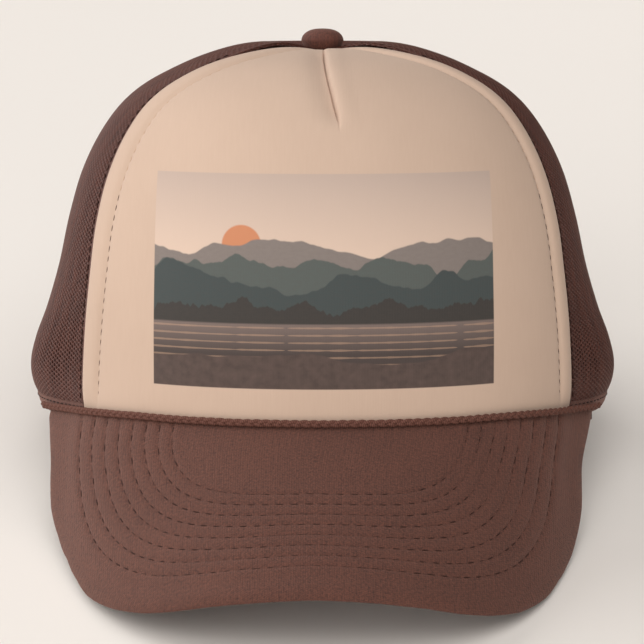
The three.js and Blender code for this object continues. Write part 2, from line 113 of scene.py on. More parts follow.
DART_LINE = {  # the dart's x at each level
    "level": (7.2, 8.05, 8.38, 8.72, 9.04, 9.56, 10.08, 10.59, 11.35, 13),
    "x": (5.2, 5.05, 4.75, 4.05, 3.25, 2.35, 1.45, 0.8, 0.4, 0.3),
}
NET = {
    "inset": 1.55,
    "half_thick": 0.45,
    "across": 1.6,
    "up": 1.65,
    "hole": 0.47,
    "bottom": 1.2,
    "crest": 1.9,  # further out at the crest, where its seams are bunched round the button
    "closed": 0.3,  # how open the holes are just above the hem
    "opening": (9, 22),  # distances up the net between which they open
}
FULL_EDGE = {"low": 1.5, "stations": 170, "even_at": 90}  # a turned edge of the net that starts at the rim
ARCH = {"half_width": 34, "height": 44, "power": 2.6, "leg": 7}
BACK_EDGE = {"low": ARCH["height"] + 1.5, "stations": 120, "even_at": 180}  # one from above the opening
FOLD = {"thickness": 3.1, "tape": 0.6}
HEM = {
    "leg": 5.5,
    "tuck": 0.95,  # how far its outer edge is drawn in
    "row": 4.3,  # height of its stitches
}
SWEATBAND = {"inset": 3.4, "thickness": 1.5, "clear": 0.26}
TAPE = {"half_width": 5, "thickness": 0.6, "bottom": 36, "rows": 3.1}
PEAK = {
    "slope": 40,
    "side_fall": 17,
    "length": 67.5,
    "half_width": 89.5,
    "shift": -2.2,  # it leans this far to -X, growing over these reaches on the -X and +X sides
    "shift_left": (-12, 15),
    "shift_right": (0, 24),
    "sag_reach": 70,
    "sag_power": 1.6,
    "shoulder": -22,
    "straight": 0.16,  # share of the outline that each side takes
    "side_out": 0.5,  # how much wider the sides are at the shoulder
    "right_in": 0.6,  # how much narrower the +X side is at its tip
    "squareness": 2.5,
    "end_angle": 74,
    "tip": 2.0,
    "thick": 4.2,
    "lip": 1.8,
    "root_height": 2.6,
}
DROOP = {  # how much further the peak's front corners sag than its even fall, at each x
    "x": (-90, -84, -80, -75, -65, -55, -45, -35, -25, 0, 20, 35, 45, 55, 65, 75, 80, 84, 90),
    "by": (0.8, 3.2, 3.4, 3.1, 3.0, 3.0, 2.2, 1.2, 0.7, 0.3, 0.7, 1.6, 2.9, 3.8, 4.1, 3.3, 3.2, 2.8, 0.8),
}
TUCK = {  # how much the corners are tucked in, at each turn from the side (0) to the front (90)
    "turn": (0, 5, 12, 20, 28, 36, 48, 60),
    "left": (-0.5, 0, 1.9, 3.1, 2.8, 1.5, 0.4, 0),
    "right": (-0.5, -0.3, 0.9, 1.8, 1.9, 0.9, 0.1, 0),
}
ROWS = {  # the peak's rows of topstitching, from the innermost out
    "count": 8,
    "half_width": 47.7,
    "width_step": 4.57,
    "reach": 28.4,
    "reach_step": 4.17,
    "base": -11.7,
    "base_step": -3.23,
    "power": 2.9,
    "depth": 0.5,
    "pitch": 4.6,
}
CORD = {
    "rise": 1.1,
    "seat": 1.7,
    "end_angle": 78,
    "pitch": 9.3,
    "sway": 0.62,
    "lift": 0.32,
    "strand": 0.68,
    "step": 0.34,
    "sides": 8,
}
BUTTON = {"radius": 7.4, "height": 8.2, "middle": 4, "base": 121.2}
STRAP = {
    "bottom": 2.5,
    "top": 21.5,
    "inset": 3.55,
    "thickness": 0.55,
    "under": 0.65,  # how much deeper the inner half lies
    "end": 47,
    "lap": 26,
    "hole_pitch": 8,
    "hole": 2.3,
    "square": 4,  # half the side of the square round a hole
    "rounding": 5.0,
}
THREAD = 0.22  # radius of the sewing thread
PRINT = {"left": -58.5, "right": 59.5, "bottom": 14.6, "top": 85.0}  # round and up from the foam's middle


# Shapes


def smooth(value, start, end):
    t = np.clip((np.asarray(value, float) - start) / (end - start), 0, 1)
    return t * t * (3 - 2 * t)


def plateau(value, start, full, hold, end):
    return smooth(value, start, full) * (1 - smooth(value, hold, end))


def signed_power(value, power):
    return np.sign(value) * np.abs(value) ** power

def run_length(path):
    """Distance along a path to each of its points."""
    return np.concatenate([[0], np.cumsum(np.linalg.norm(np.diff(path, axis=0), axis=1))])


def full_turn(count):
    return np.linspace(0, 2 * np.pi, count, endpoint=False)


def crown_value(column, level):
    """One column of the crown's table at fractional rows, on a smooth curve through them."""
    values = CROWN_ROWS[:, CROWN_COLUMNS.index(column)]
    values = np.concatenate([[2 * values[0] - values[1]], values, [2 * values[-1] - values[-2]]])
    level = np.asarray(level, float)
    row = np.clip(np.floor(level), 0, TOP_LEVEL - 1).astype(int)
    t = level - row
    before, here, there, after = (values[row + k] for k in range(4))
    slope_in, slope_out = (there - before) / 2, (after - here) / 2
    a = 2 * here - 2 * there + slope_in + slope_out
    b = -3 * here + 3 * there - 2 * slope_in - slope_out
    return ((a * t + b) * t + slope_in) * t + here


LEVELS = np.linspace(0, TOP_LEVEL - 1, 6001)
LEVEL_HEIGHTS = crown_value("height", LEVELS)


def level_at(height):
    return np.interp(height, LEVEL_HEIGHTS, LEVELS)


def crown_face(angle, level):
    angle, level = np.broadcast_arrays(np.asarray(angle, float), np.asarray(level, float))
    a = np.radians(angle)
    reach = np.where(np.cos(a) > 0, crown_value("front", level), crown_value("back", level))
    x = crown_value("side", level) * signed_power(np.sin(a), 2 / SQUARENESS)
    y = -reach * signed_power(np.cos(a), 2 / SQUARENESS)
    swell = 1 + crown_value("flare", level) * plateau(np.abs(angle), *FLARE_WINDOW) / np.hypot(x, y)
    height = crown_value("height", level)
    dip = TEMPLE["dip"] * plateau(np.abs(angle), *TEMPLE["window"])
    dip = dip * (1 - smooth(height, 0, TEMPLE["fade_height"]))
    return np.stack([x * swell, y * swell + crown_value("middle", level), height - dip], -1)


def crown_point(angle, level, inset=0.0):
    """A point on the crown, moved inwards square to its face."""
    step = 0.01
    near = np.minimum(level, TOP_LEVEL - step)
    around = crown_face(np.add(angle, step), near) - crown_face(np.subtract(angle, step), near)
    up = crown_face(angle, near + step) - crown_face(angle, np.maximum(near - step, 0))
    normal = np.cross(around, up)
    normal /= np.linalg.norm(normal, axis=-1, keepdims=True)
    return crown_face(angle, level) - normal * np.asarray(inset)[..., None]


def span_angle(distance, level):
    return np.degrees(distance / ((crown_value("side", level) + crown_value("front", level)) / 2))


def front_seam(side, level):
    return crown_value("seam", level) + SEAM["out"] + side * SEAM["shift"]


def net_inset(level):
    return NET["inset"] - NET["crest"] * smooth(level, 10.2, 12.2)


def back_angle(x, level):
    share = np.minimum(np.abs(x) / crown_value("side", level), 1)
    return np.where(np.asarray(x) < 0, -1, 1) * (180 - np.degrees(np.arcsin(share ** (SQUARENESS / 2))))


def arch_point(turn, margin):
    power = 2 / ARCH["power"]
    x = (ARCH["half_width"] + margin) * np.cos(turn) ** power
    return x, (ARCH["height"] + margin) * np.sin(turn) ** power


ROOT_LEVEL = level_at(PEAK["root_height"])
ROOT_TURNS = np.linspace(0, 89, 1800)


def root_line(angle):
    point = crown_face(angle, np.full_like(np.asarray(angle, float), ROOT_LEVEL))
    out = 1 + 0.3 / np.hypot(point[..., 0], point[..., 1])
    return point * np.stack([out, out, np.ones_like(out)], -1)


ROOT_POINTS = root_line(ROOT_TURNS)
FORWARD = np.array([0, -math.cos(math.radians(PEAK["slope"])), -math.sin(math.radians(PEAK["slope"]))])


def root_at(x):
    x = np.asarray(x, float)
    columns = [np.interp(np.abs(x), ROOT_POINTS[:, 0], ROOT_POINTS[:, k]) for k in (1, 2)]
    return np.stack([x, *columns], -1)


def root_along(x):
    return (root_at(x) - ROOT_POINTS[0]) @ FORWARD


def peak_point(x, along, drop=0.0):
    """The peak's upper face at an x and a distance forwards, or that far straight below it."""
    reach = along - root_along(x)
    fall = np.radians(PEAK["slope"] + PEAK["side_fall"] * (x / PEAK["half_width"]) ** 2)
    starts, ends = zip(PEAK["shift_left"], PEAK["shift_right"])
    shift = PEAK["shift"] * smooth(reach, np.where(x < 0, *starts), np.where(x < 0, *ends))
    grown = np.clip(reach / PEAK["sag_reach"], 0, 1) ** PEAK["sag_power"]
    sag = np.interp(x, DROOP["x"], DROOP["by"]) * grown
    return root_at(x) + np.stack([shift, -reach * np.cos(fall), -reach * np.sin(fall) - drop - sag], -1)


def peak_edge(share):
    """The peak's outline as x and distance forwards, by a share from one tip to the other."""
    tip_x = root_line(PEAK["end_angle"])[0]
    tip_along = root_along(tip_x) + PEAK["tip"]
    near = np.minimum(share, 1 - share)
    side = np.where(share < 0.5, -1, 1)
    t = np.clip(near / PEAK["straight"], 0, 1)
    x_side = tip_x + (PEAK["half_width"] - tip_x) * np.sin(t * np.pi / 2)
    x_side += PEAK["side_out"] * t - np.where(side < 0, 0, PEAK["right_in"]) * (1 - t) ** 2
    along_side = tip_along + (PEAK["shoulder"] - tip_along) * t
    turn = np.clip((near - PEAK["straight"]) / (0.5 - PEAK["straight"]), 0, 1) * np.pi / 2
    power = 2 / PEAK["squareness"]
    tuck = [np.interp(np.degrees(turn), TUCK["turn"], TUCK[hand]) for hand in ("left", "right")]
    x_front = PEAK["half_width"] * np.cos(turn) ** power - np.where(side < 0, *tuck)
    along_front = PEAK["shoulder"] + (PEAK["length"] - PEAK["shoulder"]) * np.sin(turn) ** power
    on_side = near < PEAK["straight"]
    return side * np.where(on_side, x_side, x_front), np.where(on_side, along_side, along_front)


def to_scene(points):
    """The cap's own frame in millimetres to the scene in metres, with nothing below the table."""
    c, s = math.cos(math.radians(LEAN)), math.sin(math.radians(LEAN))
    x, y, z = points[..., 0], points[..., 1], points[..., 2]
    placed = np.stack([x + PLACE[0], y * c + z * s + PLACE[1], -y * s + z * c + PLACE[2]], -1)
    placed[..., 2] = np.maximum(placed[..., 2], 0.02)
    return placed * 0.001


# Mesh building


def add_piece(name, points, faces, uv, material, replaces=(), slot=None):
    """A piece from points in the cap's own frame, faces as rows of four, and places on the cloth."""
    points = to_scene(np.asarray(points, float).reshape(-1, 3))
    faces = np.asarray(faces)
    a, b, c, d = (points[faces[:, k]] for k in range(4))
    volume = np.einsum("ij,ij->", a, np.cross(b, c)) + np.einsum("ij,ij->", a, np.cross(c, d))
    if volume < 0:
        faces = faces[:, ::-1]
    rows = [r[:3] if r[2] == r[3] else r[1:] if r[0] == r[1] else r for r in faces.tolist()]
    mesh = bpy.data.meshes.new(name)
    mesh.from_pydata(points.tolist(), [], rows)
    layer = mesh.uv_layers.new(name="cloth_mm")
    corners = np.empty(len(mesh.loops), int)
    mesh.loops.foreach_get("vertex_index", corners)
    layer.data.foreach_set("uv", (np.asarray(uv, float).reshape(-1, 2)[corners] * 0.001).ravel())
    mesh.polygons.foreach_set("use_smooth", [True] * len(mesh.polygons))
    mesh.materials.append(material)
    mesh.update()
    piece = bpy.data.objects.new(name, mesh)
    bpy.context.collection.objects.link(piece)
    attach(piece, "root")
    if replaces:
        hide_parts(*replaces)
    return piece


def grid_faces(rows, columns, around=False, start=0):
    """Faces of a grid of points in rows; around joins each row's last point to its first."""
    i = np.arange(rows - 1)[:, None] * columns
    j = np.arange(columns if around else columns - 1)[None, :]
    k = (j + 1) % columns
    return start + np.stack([i + j, i + k, i + k + columns, i + j + columns], -1).reshape(-1, 4)


def shell(outer, inner, uv):
    """A closed sheet between two grids of points, each of shape (rows, columns, 3)."""
    rows, columns = outer.shape[:2]
    count = rows * columns
    index = np.arange(count).reshape(rows, columns)
    rim = np.concatenate([index[0], index[1:, -1], index[-1, -2::-1], index[-2:0:-1, 0]])
    after = np.roll(rim, -1)
    faces = np.concatenate(
        [
            grid_faces(rows, columns),
            grid_faces(rows, columns, start=count)[:, ::-1],
            np.stack([rim, rim + count, after + count, after], -1),
        ]
    )
    points = np.concatenate([outer.reshape(-1, 3), inner.reshape(-1, 3)])
    return points, faces, np.concatenate([uv.reshape(-1, 2)] * 2)


def tube(rings, uv=None):
    """A closed strip from rings of points, shape (stations, n, 3), with its ends filled by fans of faces."""
    stations, n = rings.shape[:2]
    points = np.concatenate([rings.reshape(-1, 3), [rings[0].mean(0), rings[-1].mean(0)]])
    first, last = stations * n, stations * n + 1
    i = np.arange(n)
    k = (i + 1) % n
    low = np.stack([k, i, np.full(n, first), np.full(n, first)], -1)
    high = np.stack([i, k, np.full(n, last), np.full(n, last)], -1)
    high[:, :2] += (stations - 1) * n
    if uv is None:
        along = run_length(rings.mean(1))
        girth = np.linalg.norm(np.roll(rings[0], -1, 0) - rings[0], axis=-1)
        uv = np.stack(np.broadcast_arrays(along[:, None], np.cumsum(girth)[None, :]), -1)
    uv = np.concatenate([uv.reshape(-1, 2), [uv[0, 0], uv[-1, 0]]])
    return points, np.concatenate([grid_faces(stations, n, around=True), low, high]), uv


def joined(parts):
    """Several (points, faces, uv) as one."""
    points, faces, uv, count = [], [], [], 0
    for p, f, u in parts:
        points.append(p.reshape(-1, 3))
        faces.append(np.asarray(f) + count)
        uv.append(u.reshape(-1, 2))
        count += len(points[-1])
    return np.concatenate(points), np.concatenate(faces), np.concatenate(uv)


def resampled(path, spacing):
    """Points at even steps along a path."""
    at = run_length(path)
    count = max(int(round(at[-1] / spacing)), 2)
    even = np.linspace(0, at[-1], count + 1)
    return np.stack([np.interp(even, at, path[:, k]) for k in range(3)], -1)


def unit(vectors):
    return vectors / np.maximum(np.linalg.norm(vectors, axis=-1, keepdims=True), 1e-9)


def stitches(path, out, pitch, share=0.72, radius=THREAD, lift=0.16, sides=6):
    """A row of lockstitches: short lengths of thread along a path, whose ends dive into the cloth. out is the
    cloth's face direction at each point of the path."""
    at = run_length(path)
    count = int(at[-1] // pitch)
    spots = 7
    t = np.linspace(0, 1, spots)
    start = (np.arange(count) + 0.5) * at[-1] / count - pitch * share / 2
    where = start[:, None] + t[None, :] * pitch * share
    centre = np.stack([np.interp(where, at, path[:, k]) for k in range(3)], -1)
    face = unit(np.stack([np.interp(where, at, out[:, k]) for k in range(3)], -1))
    along = unit(np.gradient(centre, axis=1))
    across = unit(np.cross(along, face))
    dive = 1 - np.abs(2 * t - 1) ** 4
    centre = centre + face * (lift * dive - radius * 0.9 * (1 - dive))[None, :, None]
    girth = radius * (0.35 + 0.65 * dive)
    turn = full_turn(sides)
    ring = np.cos(turn)[:, None] * face[:, :, None, :] + np.sin(turn)[:, None] * across[:, :, None, :]
    rings = centre[:, :, None, :] + girth[None, :, None, None] * ring
    one = grid_faces(spots, sides, around=True)
    faces = (one[None] + (np.arange(count) * spots * sides)[:, None, None]).reshape(-1, 4)
    uv = np.stack(np.broadcast_arrays(where[:, :, None], (turn * radius)[None, None, :]), -1)
    return rings.reshape(-1, 3), faces, uv


def crown_stitches(angle, level, inset, pitch, **settings):
    """A row of stitches on the crown, from angles and levels along it."""
    path = crown_point(angle, level, inset)
    return stitches(path, unit(path - crown_point(angle, level, inset + 1.0)), pitch, **settings)


# Materials


def linear(code, alpha=1.0):
    """An sRGB hex colour as linear values."""
    values = [int(code[i : i + 2], 16) / 255 for i in (1, 3, 5)]
    return tuple(v / 12.92 if v <= 0.04045 else ((v + 0.055) / 1.055) ** 2.4 for v in values) + (alpha,)


def add_node(tree, kind, inputs=(), out=0, **settings):
    """Adds a node, sets its properties, fills its inputs (in order, or by name from a dict) with sockets or
    values, and gives back one of its outputs."""
    new = tree.nodes.new("ShaderNode" + kind)
    for name, value in settings.items():
        setattr(new, name, value)
    for name, value in (inputs if isinstance(inputs, dict) else dict(enumerate(inputs))).items():
        if isinstance(value, bpy.types.NodeSocket):
            tree.links.new(value, new.inputs[name])
        else:
            new.inputs[name].default_value = value
    return new.outputs[out]


def new_material(name, colour, roughness, **fixed):
    """A material with its main shader; fixed values go on the shader's own sockets."""
    material = bpy.data.materials.new(name)
    material.use_nodes = True
    shader = material.node_tree.nodes["Principled BSDF"]
    shader.inputs["Base Color"].default_value = linear(colour)
    shader.inputs["Roughness"].default_value = roughness
    shader.inputs["Metallic"].default_value = 0
    for label, value in fixed.items():
        shader.inputs[label.replace("_", " ")].default_value = value
    material.diffuse_color = linear(colour)
    return material, material.node_tree, shader


def cloth_place(tree):
    """The place on the cloth in millimetres: the vector, the distance round and the distance up."""
    place = add_node(tree, "UVMap", uv_map="cloth_mm")
    vector = add_node(tree, "VectorMath", {0: place, "Scale": 1000}, operation="SCALE")
    split = add_node(tree, "SeparateXYZ", [vector]).node
    return vector, split.outputs[0], split.outputs[1]


def threads(tree, place, pitch):
    """A thread's round top repeated every pitch millimetres, 0 in the gap and 1 on top."""
    turn = add_node(tree, "Math", (place, math.pi / pitch), operation="MULTIPLY")
    wave = add_node(tree, "Math", [turn], operation="SINE")
    return add_node(tree, "Math", [wave], operation="ABSOLUTE")


def weighted_sum(tree, *pairs):
    """The sum of sockets, each times its weight."""
    total = 0.0
    for value, weight in pairs:
        total = add_node(tree, "Math", (value, weight, total), operation="MULTIPLY_ADD")
    return total


def layered(tree, under, *layers):
    """Colours laid one over another, each by its share."""
    for share, over in layers:
        under = add_node(tree, "Mix", {0: share, 6: under, 7: over}, out=2, data_type="RGBA")
    return under


def finish_cloth(tree, shader, shade, low, high, dark, light, height, relief_mm, strength=1.0):
    """Tints a cloth from dark to light as shade goes from low to high, and raises it by height."""
    share = add_node(tree, "MapRange", (shade, low, high, 0.0, 1.0))
    tint = layered(tree, linear(dark), (share, linear(light)))
    tree.links.new(tint, shader.inputs["Base Color"])
    bump = add_node(tree, "Bump", {"Strength": strength, "Distance": relief_mm * 0.001, "Height": height})
    tree.links.new(bump, shader.inputs["Normal"])


def woven_cloth(name, dark, light, warp, weft, roughness, sheen, relief_mm):
    """Cotton and polyester cloth, woven and piece-dyed: threads as fine relief, with painted shade darkening
    the gaps, uneven yarn, and a brushed nap. The eye reads a matt cloth with a fine slanting rib, specks, and
    a soft bloom where it turns away."""
    material, tree, shader = new_material(name, light, roughness, Sheen_Weight=sheen, Sheen_Roughness=0.5)
    shader.inputs["Sheen Tint"].default_value = linear("#cfa496")
    vector, across, up = cloth_place(tree)
    ribs = threads(tree, across, warp)
    slant = weighted_sum(tree, (across, weft / warp / 2), (up, 1.0))
    picks = threads(tree, slant, weft)
    stretched = add_node(tree, "Mapping", {0: vector, "Scale": (1 / (warp * 1.4), 1 / 9, 1)})
    yarn = add_node(tree, "TexNoise", {"Vector": stretched, "Scale": 1.0, "Detail": 3.0, "Roughness": 0.6})
    specks = add_node(tree, "TexNoise", {"Vector": vector, "Scale": 1.3, "Detail": 3.0, "Roughness": 0.7})
    cloud = add_node(tree, "TexNoise", {"Vector": vector, "Scale": 0.045, "Detail": 3.0, "Roughness": 0.55})
    weave = weighted_sum(tree, (ribs, 0.5), (picks, 0.5))
    # The gaps between the threads are tinted darker here: painted shade in the weave's recesses.
    shade = weighted_sum(tree, (weave, 0.25), (yarn, 0.3), (specks, 1.4), (cloud, 0.2))
    height = weighted_sum(tree, (weave, 0.6), (specks, 1.6), (yarn, 0.2))
    finish_cloth(tree, shader, shade, 0.78, 1.33, dark, light, height, relief_mm)
    return material


def ridge_line(tree, across, base, swing, width, offset, rough):
    """The height of a ridge above the print's lower edge, for each place across it."""
    where = add_node(tree, "Math", (across, 1 / width, offset), operation="MULTIPLY_ADD")
    ridge = add_node(
        tree, "TexNoise", {"W": where, "Scale": 1.0, "Detail": 4.0, "Roughness": rough}, noise_dimensions="1D"
    )
    return add_node(tree, "MapRange", (ridge, 0.2, 0.8, base - swing, base + swing))


def below(tree, up, line, soft=0.25):
    """1 below a line and 0 above it, with a printed edge's softness in millimetres."""
    gap = add_node(tree, "Math", (line, up), operation="SUBTRACT")
    return add_node(tree, "MapRange", (gap, -soft, soft, 0.0, 1.0))


PICTURE = {  # places as shares of the print's width and height
    "dusk": 0.45,
    "sun": (0.27, 0.66),
    "sun_radius": (6.4, 6.9),
    "near_water": 0.16,
    "far_water": 0.3,
    "bank": 0.15,
}
HILLS = (  # ink, share of the height, swing, width of a hill, place along the ridge, roughness
    ("#7a716c", 0.66, 6.0, 30, 3.1, 0.35),
    ("#43504e", 0.58, 6.5, 24, 8.4, 0.40),
    ("#20373a", 0.50, 7.0, 34, 15.2, 0.45),
    ("#121b1c", 0.38, 4.0, 17, 22.7, 0.62),
)


def printed_lake(tree, x, y, height):
    """Water that pales with distance, with broken glints in rows."""
    near, far = height * PICTURE["near_water"], height * PICTURE["far_water"]
    depth = add_node(tree, "MapRange", (y, near, far, 0.0, 1.0))
    swell = add_node(tree, "Math", (y, 2.6), operation="MULTIPLY")
    swell = add_node(tree, "Math", [swell], operation="SINE")
    breaks = add_node(tree, "TexNoise", {"W": x, "Scale": 0.12, "Detail": 2.0}, noise_dimensions="1D")
    glint = weighted_sum(tree, (swell, 1.0), (breaks, 1.0))
    glint = add_node(tree, "Math", (glint, 1.3), operation="GREATER_THAN")
    glint = add_node(tree, "Math", (glint, 0.45), operation="MULTIPLY")
    return layered(tree, linear("#332a29"), (depth, linear("#6b5c57")), (glint, linear("#a98870")))


def printed_view(tree, across, up):
    """A plain made-up view of hills, a lake, its bank and a low sun, in bands of flat ink."""
    width, height = PRINT["right"] - PRINT["left"], PRINT["top"] - PRINT["bottom"]
    x = add_node(tree, "Math", (across, PRINT["left"]), operation="SUBTRACT")
    y = add_node(tree, "Math", (up, PRINT["bottom"]), operation="SUBTRACT")
    spot = add_node(tree, "CombineXYZ", (x, y, 0.0))
    dusk = add_node(tree, "MapRange", (y, height * PICTURE["dusk"], height, 0.0, 1.0))
    sun = (width * PICTURE["sun"][0], height * PICTURE["sun"][1], 0)
    from_sun = add_node(tree, "VectorMath", (spot, sun), out=1, operation="DISTANCE")
    disc = add_node(tree, "MapRange", (from_sun, *PICTURE["sun_radius"], 1.0, 0.0))
    picture = layered(tree, linear("#d8bda9"), (dusk, linear("#b09c90")), (disc, linear("#bd7a55")))
    flattened = add_node(tree, "VectorMath", (spot, (0.5, 1.1, 1)), operation="MULTIPLY")
    grain = add_node(tree, "TexNoise", {"Vector": flattened, "Scale": 1.0, "Detail": 3.0})
    grain = add_node(tree, "Math", (grain, 0.25), operation="MULTIPLY")
    for ink, share, swing, wide, offset, rough in HILLS:
        ridge = ridge_line(tree, x, height * share, swing, wide, offset, rough)
        mottled = layered(tree, linear(ink), (grain, linear("#45332f")))
        picture = layered(tree, picture, (below(tree, y, ridge), mottled))
    shore = below(tree, y, height * PICTURE["far_water"], 0.3)
    lake = printed_lake(tree, x, y, height)
    gravel = add_node(tree, "TexNoise", {"Vector": spot, "Scale": 0.35, "Detail": 4.0})
    bank = layered(tree, linear("#241917"), (gravel, linear("#54423d")))
    bank_edge = ridge_line(tree, x, height * PICTURE["bank"], 3.0, 40, 31.5, 0.4)
    return layered(tree, picture, (shore, lake), (below(tree, y, bank_edge), bank))


def foam_cover():
    """Polyester knit laminated on foam, heat-set and printed: smooth, matt and faintly ribbed, with a soft
    nap that pales at its edges. The ribs are 0.9 mm apart, three times the real ones, so that they show."""
    material, tree, shader = new_material(
        "printed_polyester_knit_on_foam", FOAM_TINT[1], 0.85, Sheen_Weight=0.08, Sheen_Roughness=0.5
    )
    vector, across, up = cloth_place(tree)
    ribs = threads(tree, across, 0.9)
    stretched = add_node(tree, "Mapping", {0: vector, "Scale": (0.9, 0.12, 1)})
    yarn = add_node(tree, "TexNoise", {"Vector": stretched, "Scale": 1.0, "Detail": 3.0, "Roughness": 0.6})
    cloud = add_node(tree, "TexNoise", {"Vector": vector, "Scale": 0.03, "Detail": 2.0})
    shade = weighted_sum(tree, (yarn, 0.4), (cloud, 0.6))
    height = weighted_sum(tree, (ribs, 0.5), (yarn, 1.0))
    finish_cloth(tree, shader, shade, 0.3, 0.7, *FOAM_TINT, height, 0.03, 0.6)
    plain = shader.inputs["Base Color"].links[0].from_socket
    mask = 1.0
    for place, low, high in ((across, "left", "right"), (up, "bottom", "top")):
        middle, half = (PRINT[low] + PRINT[high]) / 2, (PRINT[high] - PRINT[low]) / 2
        off = add_node(tree, "Math", (place, middle), operation="SUBTRACT")
        off = add_node(tree, "Math", [off], operation="ABSOLUTE")
        mask = add_node(tree, "Math", (below(tree, off, half, 0.15), mask), operation="MULTIPLY")
    ink_cover = add_node(tree, "Math", (mask, 0.95), operation="MULTIPLY")
    printed = layered(tree, plain, (ink_cover, printed_view(tree, across, up)))
    tree.links.new(printed, shader.inputs["Base Color"])
    return material


def bare_foam():
    """Open-cell polyurethane foam, cut: a matt, finely pitted pale tan face inside the front, with painted
    shade in the pits.
    """
    material, tree, shader = new_material("cut_polyurethane_foam", "#d9bfa6", 0.95)
    vector, _, _ = cloth_place(tree)
    cells = add_node(tree, "TexVoronoi", {"Vector": vector, "Scale": 1.1})
    # The cells both sink and darken the face: the pits' darker tint is painted shade.
    finish_cloth(tree, shader, cells, 0.1, 0.7, "#c4a78d", "#e0c8b1", cells, 0.25, 0.8)
    return material


def knitted_net():
    """Stiff polyester warp-knit net, heat-set: a smooth, slightly shiny brown yarn that catches the light on
    each bar, in streaks where the yarn is drawn tighter."""
    material, tree, shader = new_material(
        "knitted_polyester_net", NET_TINT[1], 0.65, Sheen_Weight=0.18, Sheen_Roughness=0.4
    )
    shader.inputs["Sheen Tint"].default_value = linear("#d3b0a5")
    vector, _, _ = cloth_place(tree)
    yarn = add_node(tree, "TexNoise", {"Vector": vector, "Scale": 1.6, "Detail": 3.0, "Roughness": 0.6})
    leaning = add_node(tree, "Mapping", {0: vector, "Rotation": (0, 0, 0.5), "Scale": (0.45, 0.07, 1)})
    streaks = add_node(tree, "TexNoise", {"Vector": leaning, "Scale": 1.0, "Detail": 3.0, "Roughness": 0.7})
    shade = weighted_sum(tree, (yarn, 0.5), (streaks, 0.5))
    finish_cloth(tree, shader, shade, 0.36, 0.66, *NET_TINT, yarn, 0.12, 0.6)
    return material


def spun_thread(name, dark, light, twist=0.5):
    """Spun polyester thread: a tight twist of fine fibres, matt, with painted shade between the turns."""
    material, tree, shader = new_material(name, light, 0.75, Sheen_Weight=0.1, Sheen_Roughness=0.4)
    shader.inputs["Sheen Tint"].default_value = linear("#b98a7c")
    shader.inputs["Specular IOR Level"].default_value = 0.25
    _, along, around = cloth_place(tree)
    turns = threads(tree, weighted_sum(tree, (around, 0.8), (along, 1.0)), twist)
    # The twist both raises the thread and darkens it between the turns: that darker tint is painted shade.
    finish_cloth(tree, shader, turns, 0.0, 0.8, dark, light, turns, 0.1, 0.8)
    return material


def moulded_plastic():
    """Polyethylene, injection moulded: satin, slightly waxy, with the mould's fine grain and soft scuffs."""
    material, tree, shader = new_material("moulded_polyethylene", "#5a3a33", 0.42, IOR=1.5)
    vector, _, _ = cloth_place(tree)
    grain = add_node(tree, "TexNoise", {"Vector": vector, "Scale": 2.5, "Detail": 3.0})
    scuffs = add_node(tree, "TexNoise", {"Vector": vector, "Scale": 0.15, "Detail": 4.0, "Roughness": 0.7})
    tree.links.new(add_node(tree, "MapRange", (scuffs, 0.3, 0.7, 0.36, 0.55)), shader.inputs["Roughness"])
    finish_cloth(tree, shader, scuffs, 0.35, 0.7, "#462b24", "#573730", grain, 0.03, 0.5)
    return material


def plated_steel():
    """Nickel-plated steel, pressed: grey and bright, with fine wear round the rivet."""
    material, tree, shader = new_material("pressed_nickelled_steel", "#b5b0a8", 0.32)
    shader.inputs["Metallic"].default_value = 1
    vector, _, _ = cloth_place(tree)
    wear = add_node(tree, "TexNoise", {"Vector": vector, "Scale": 1.2, "Detail": 3.0})
    tree.links.new(add_node(tree, "MapRange", (wear, 0.3, 0.7, 0.24, 0.42)), shader.inputs["Roughness"])
    return material


def studio_paper():
    """Matt pale paper that the cap stands on."""
    material, tree, shader = new_material("matt_studio_paper", PAPER_TINT[1], 0.95)
    place = add_node(tree, "TexCoord", out=3)
    cloud = add_node(tree, "TexNoise", {"Vector": place, "Scale": 2.0})
    share = add_node(tree, "MapRange", (cloud, 0.3, 0.7, 0.0, 1.0))
    dark, light = map(linear, PAPER_TINT)
    tree.links.new(layered(tree, dark, (share, light)), shader.inputs["Base Color"])
    return material


# Dark and light of each dye, and of the painted shade given to some threads. The twill's threads are 0.35 mm
# apart, and drawn at twice that to show.
FOAM_TINT = ("#bba18e", "#c0a693")
NET_TINT = ("#34140c", "#5b2e20")
PAPER_TINT = ("#e6e0da", "#e9e3dd")
FOAM_COVER = foam_cover()
BARE_FOAM = bare_foam()
KNITTED_NET = knitted_net()
PEAK_TWILL = woven_cloth("brown_cotton_twill", "#341a13", "#60382b", 0.75, 0.7, 0.85, 0.25, 0.16)
BAND_TWILL = woven_cloth("brown_sweatband_twill", "#381d16", "#57332a", 0.8, 0.8, 0.88, 0.25, 0.1)
WOVEN_TAPE = woven_cloth("woven_polyester_tape", "#3d211a", "#663d31", 1.0, 0.6, 0.8, 0.3, 0.1)
BUTTON_TWILL = woven_cloth("button_cotton_twill", "#391c15", "#5f3428", 0.6, 0.6, 0.85, 0.25, 0.08)
BROWN_THREAD = spun_thread("brown_polyester_thread", "#1f0f0b", "#371d15")
# The peak's thread gets the twill's shaded tone rather than its own: painted shade along the stitch grooves.
PEAK_THREAD_PAINTED_SHADE = spun_thread("peak_thread_in_painted_shade", "#22100c", "#392018")
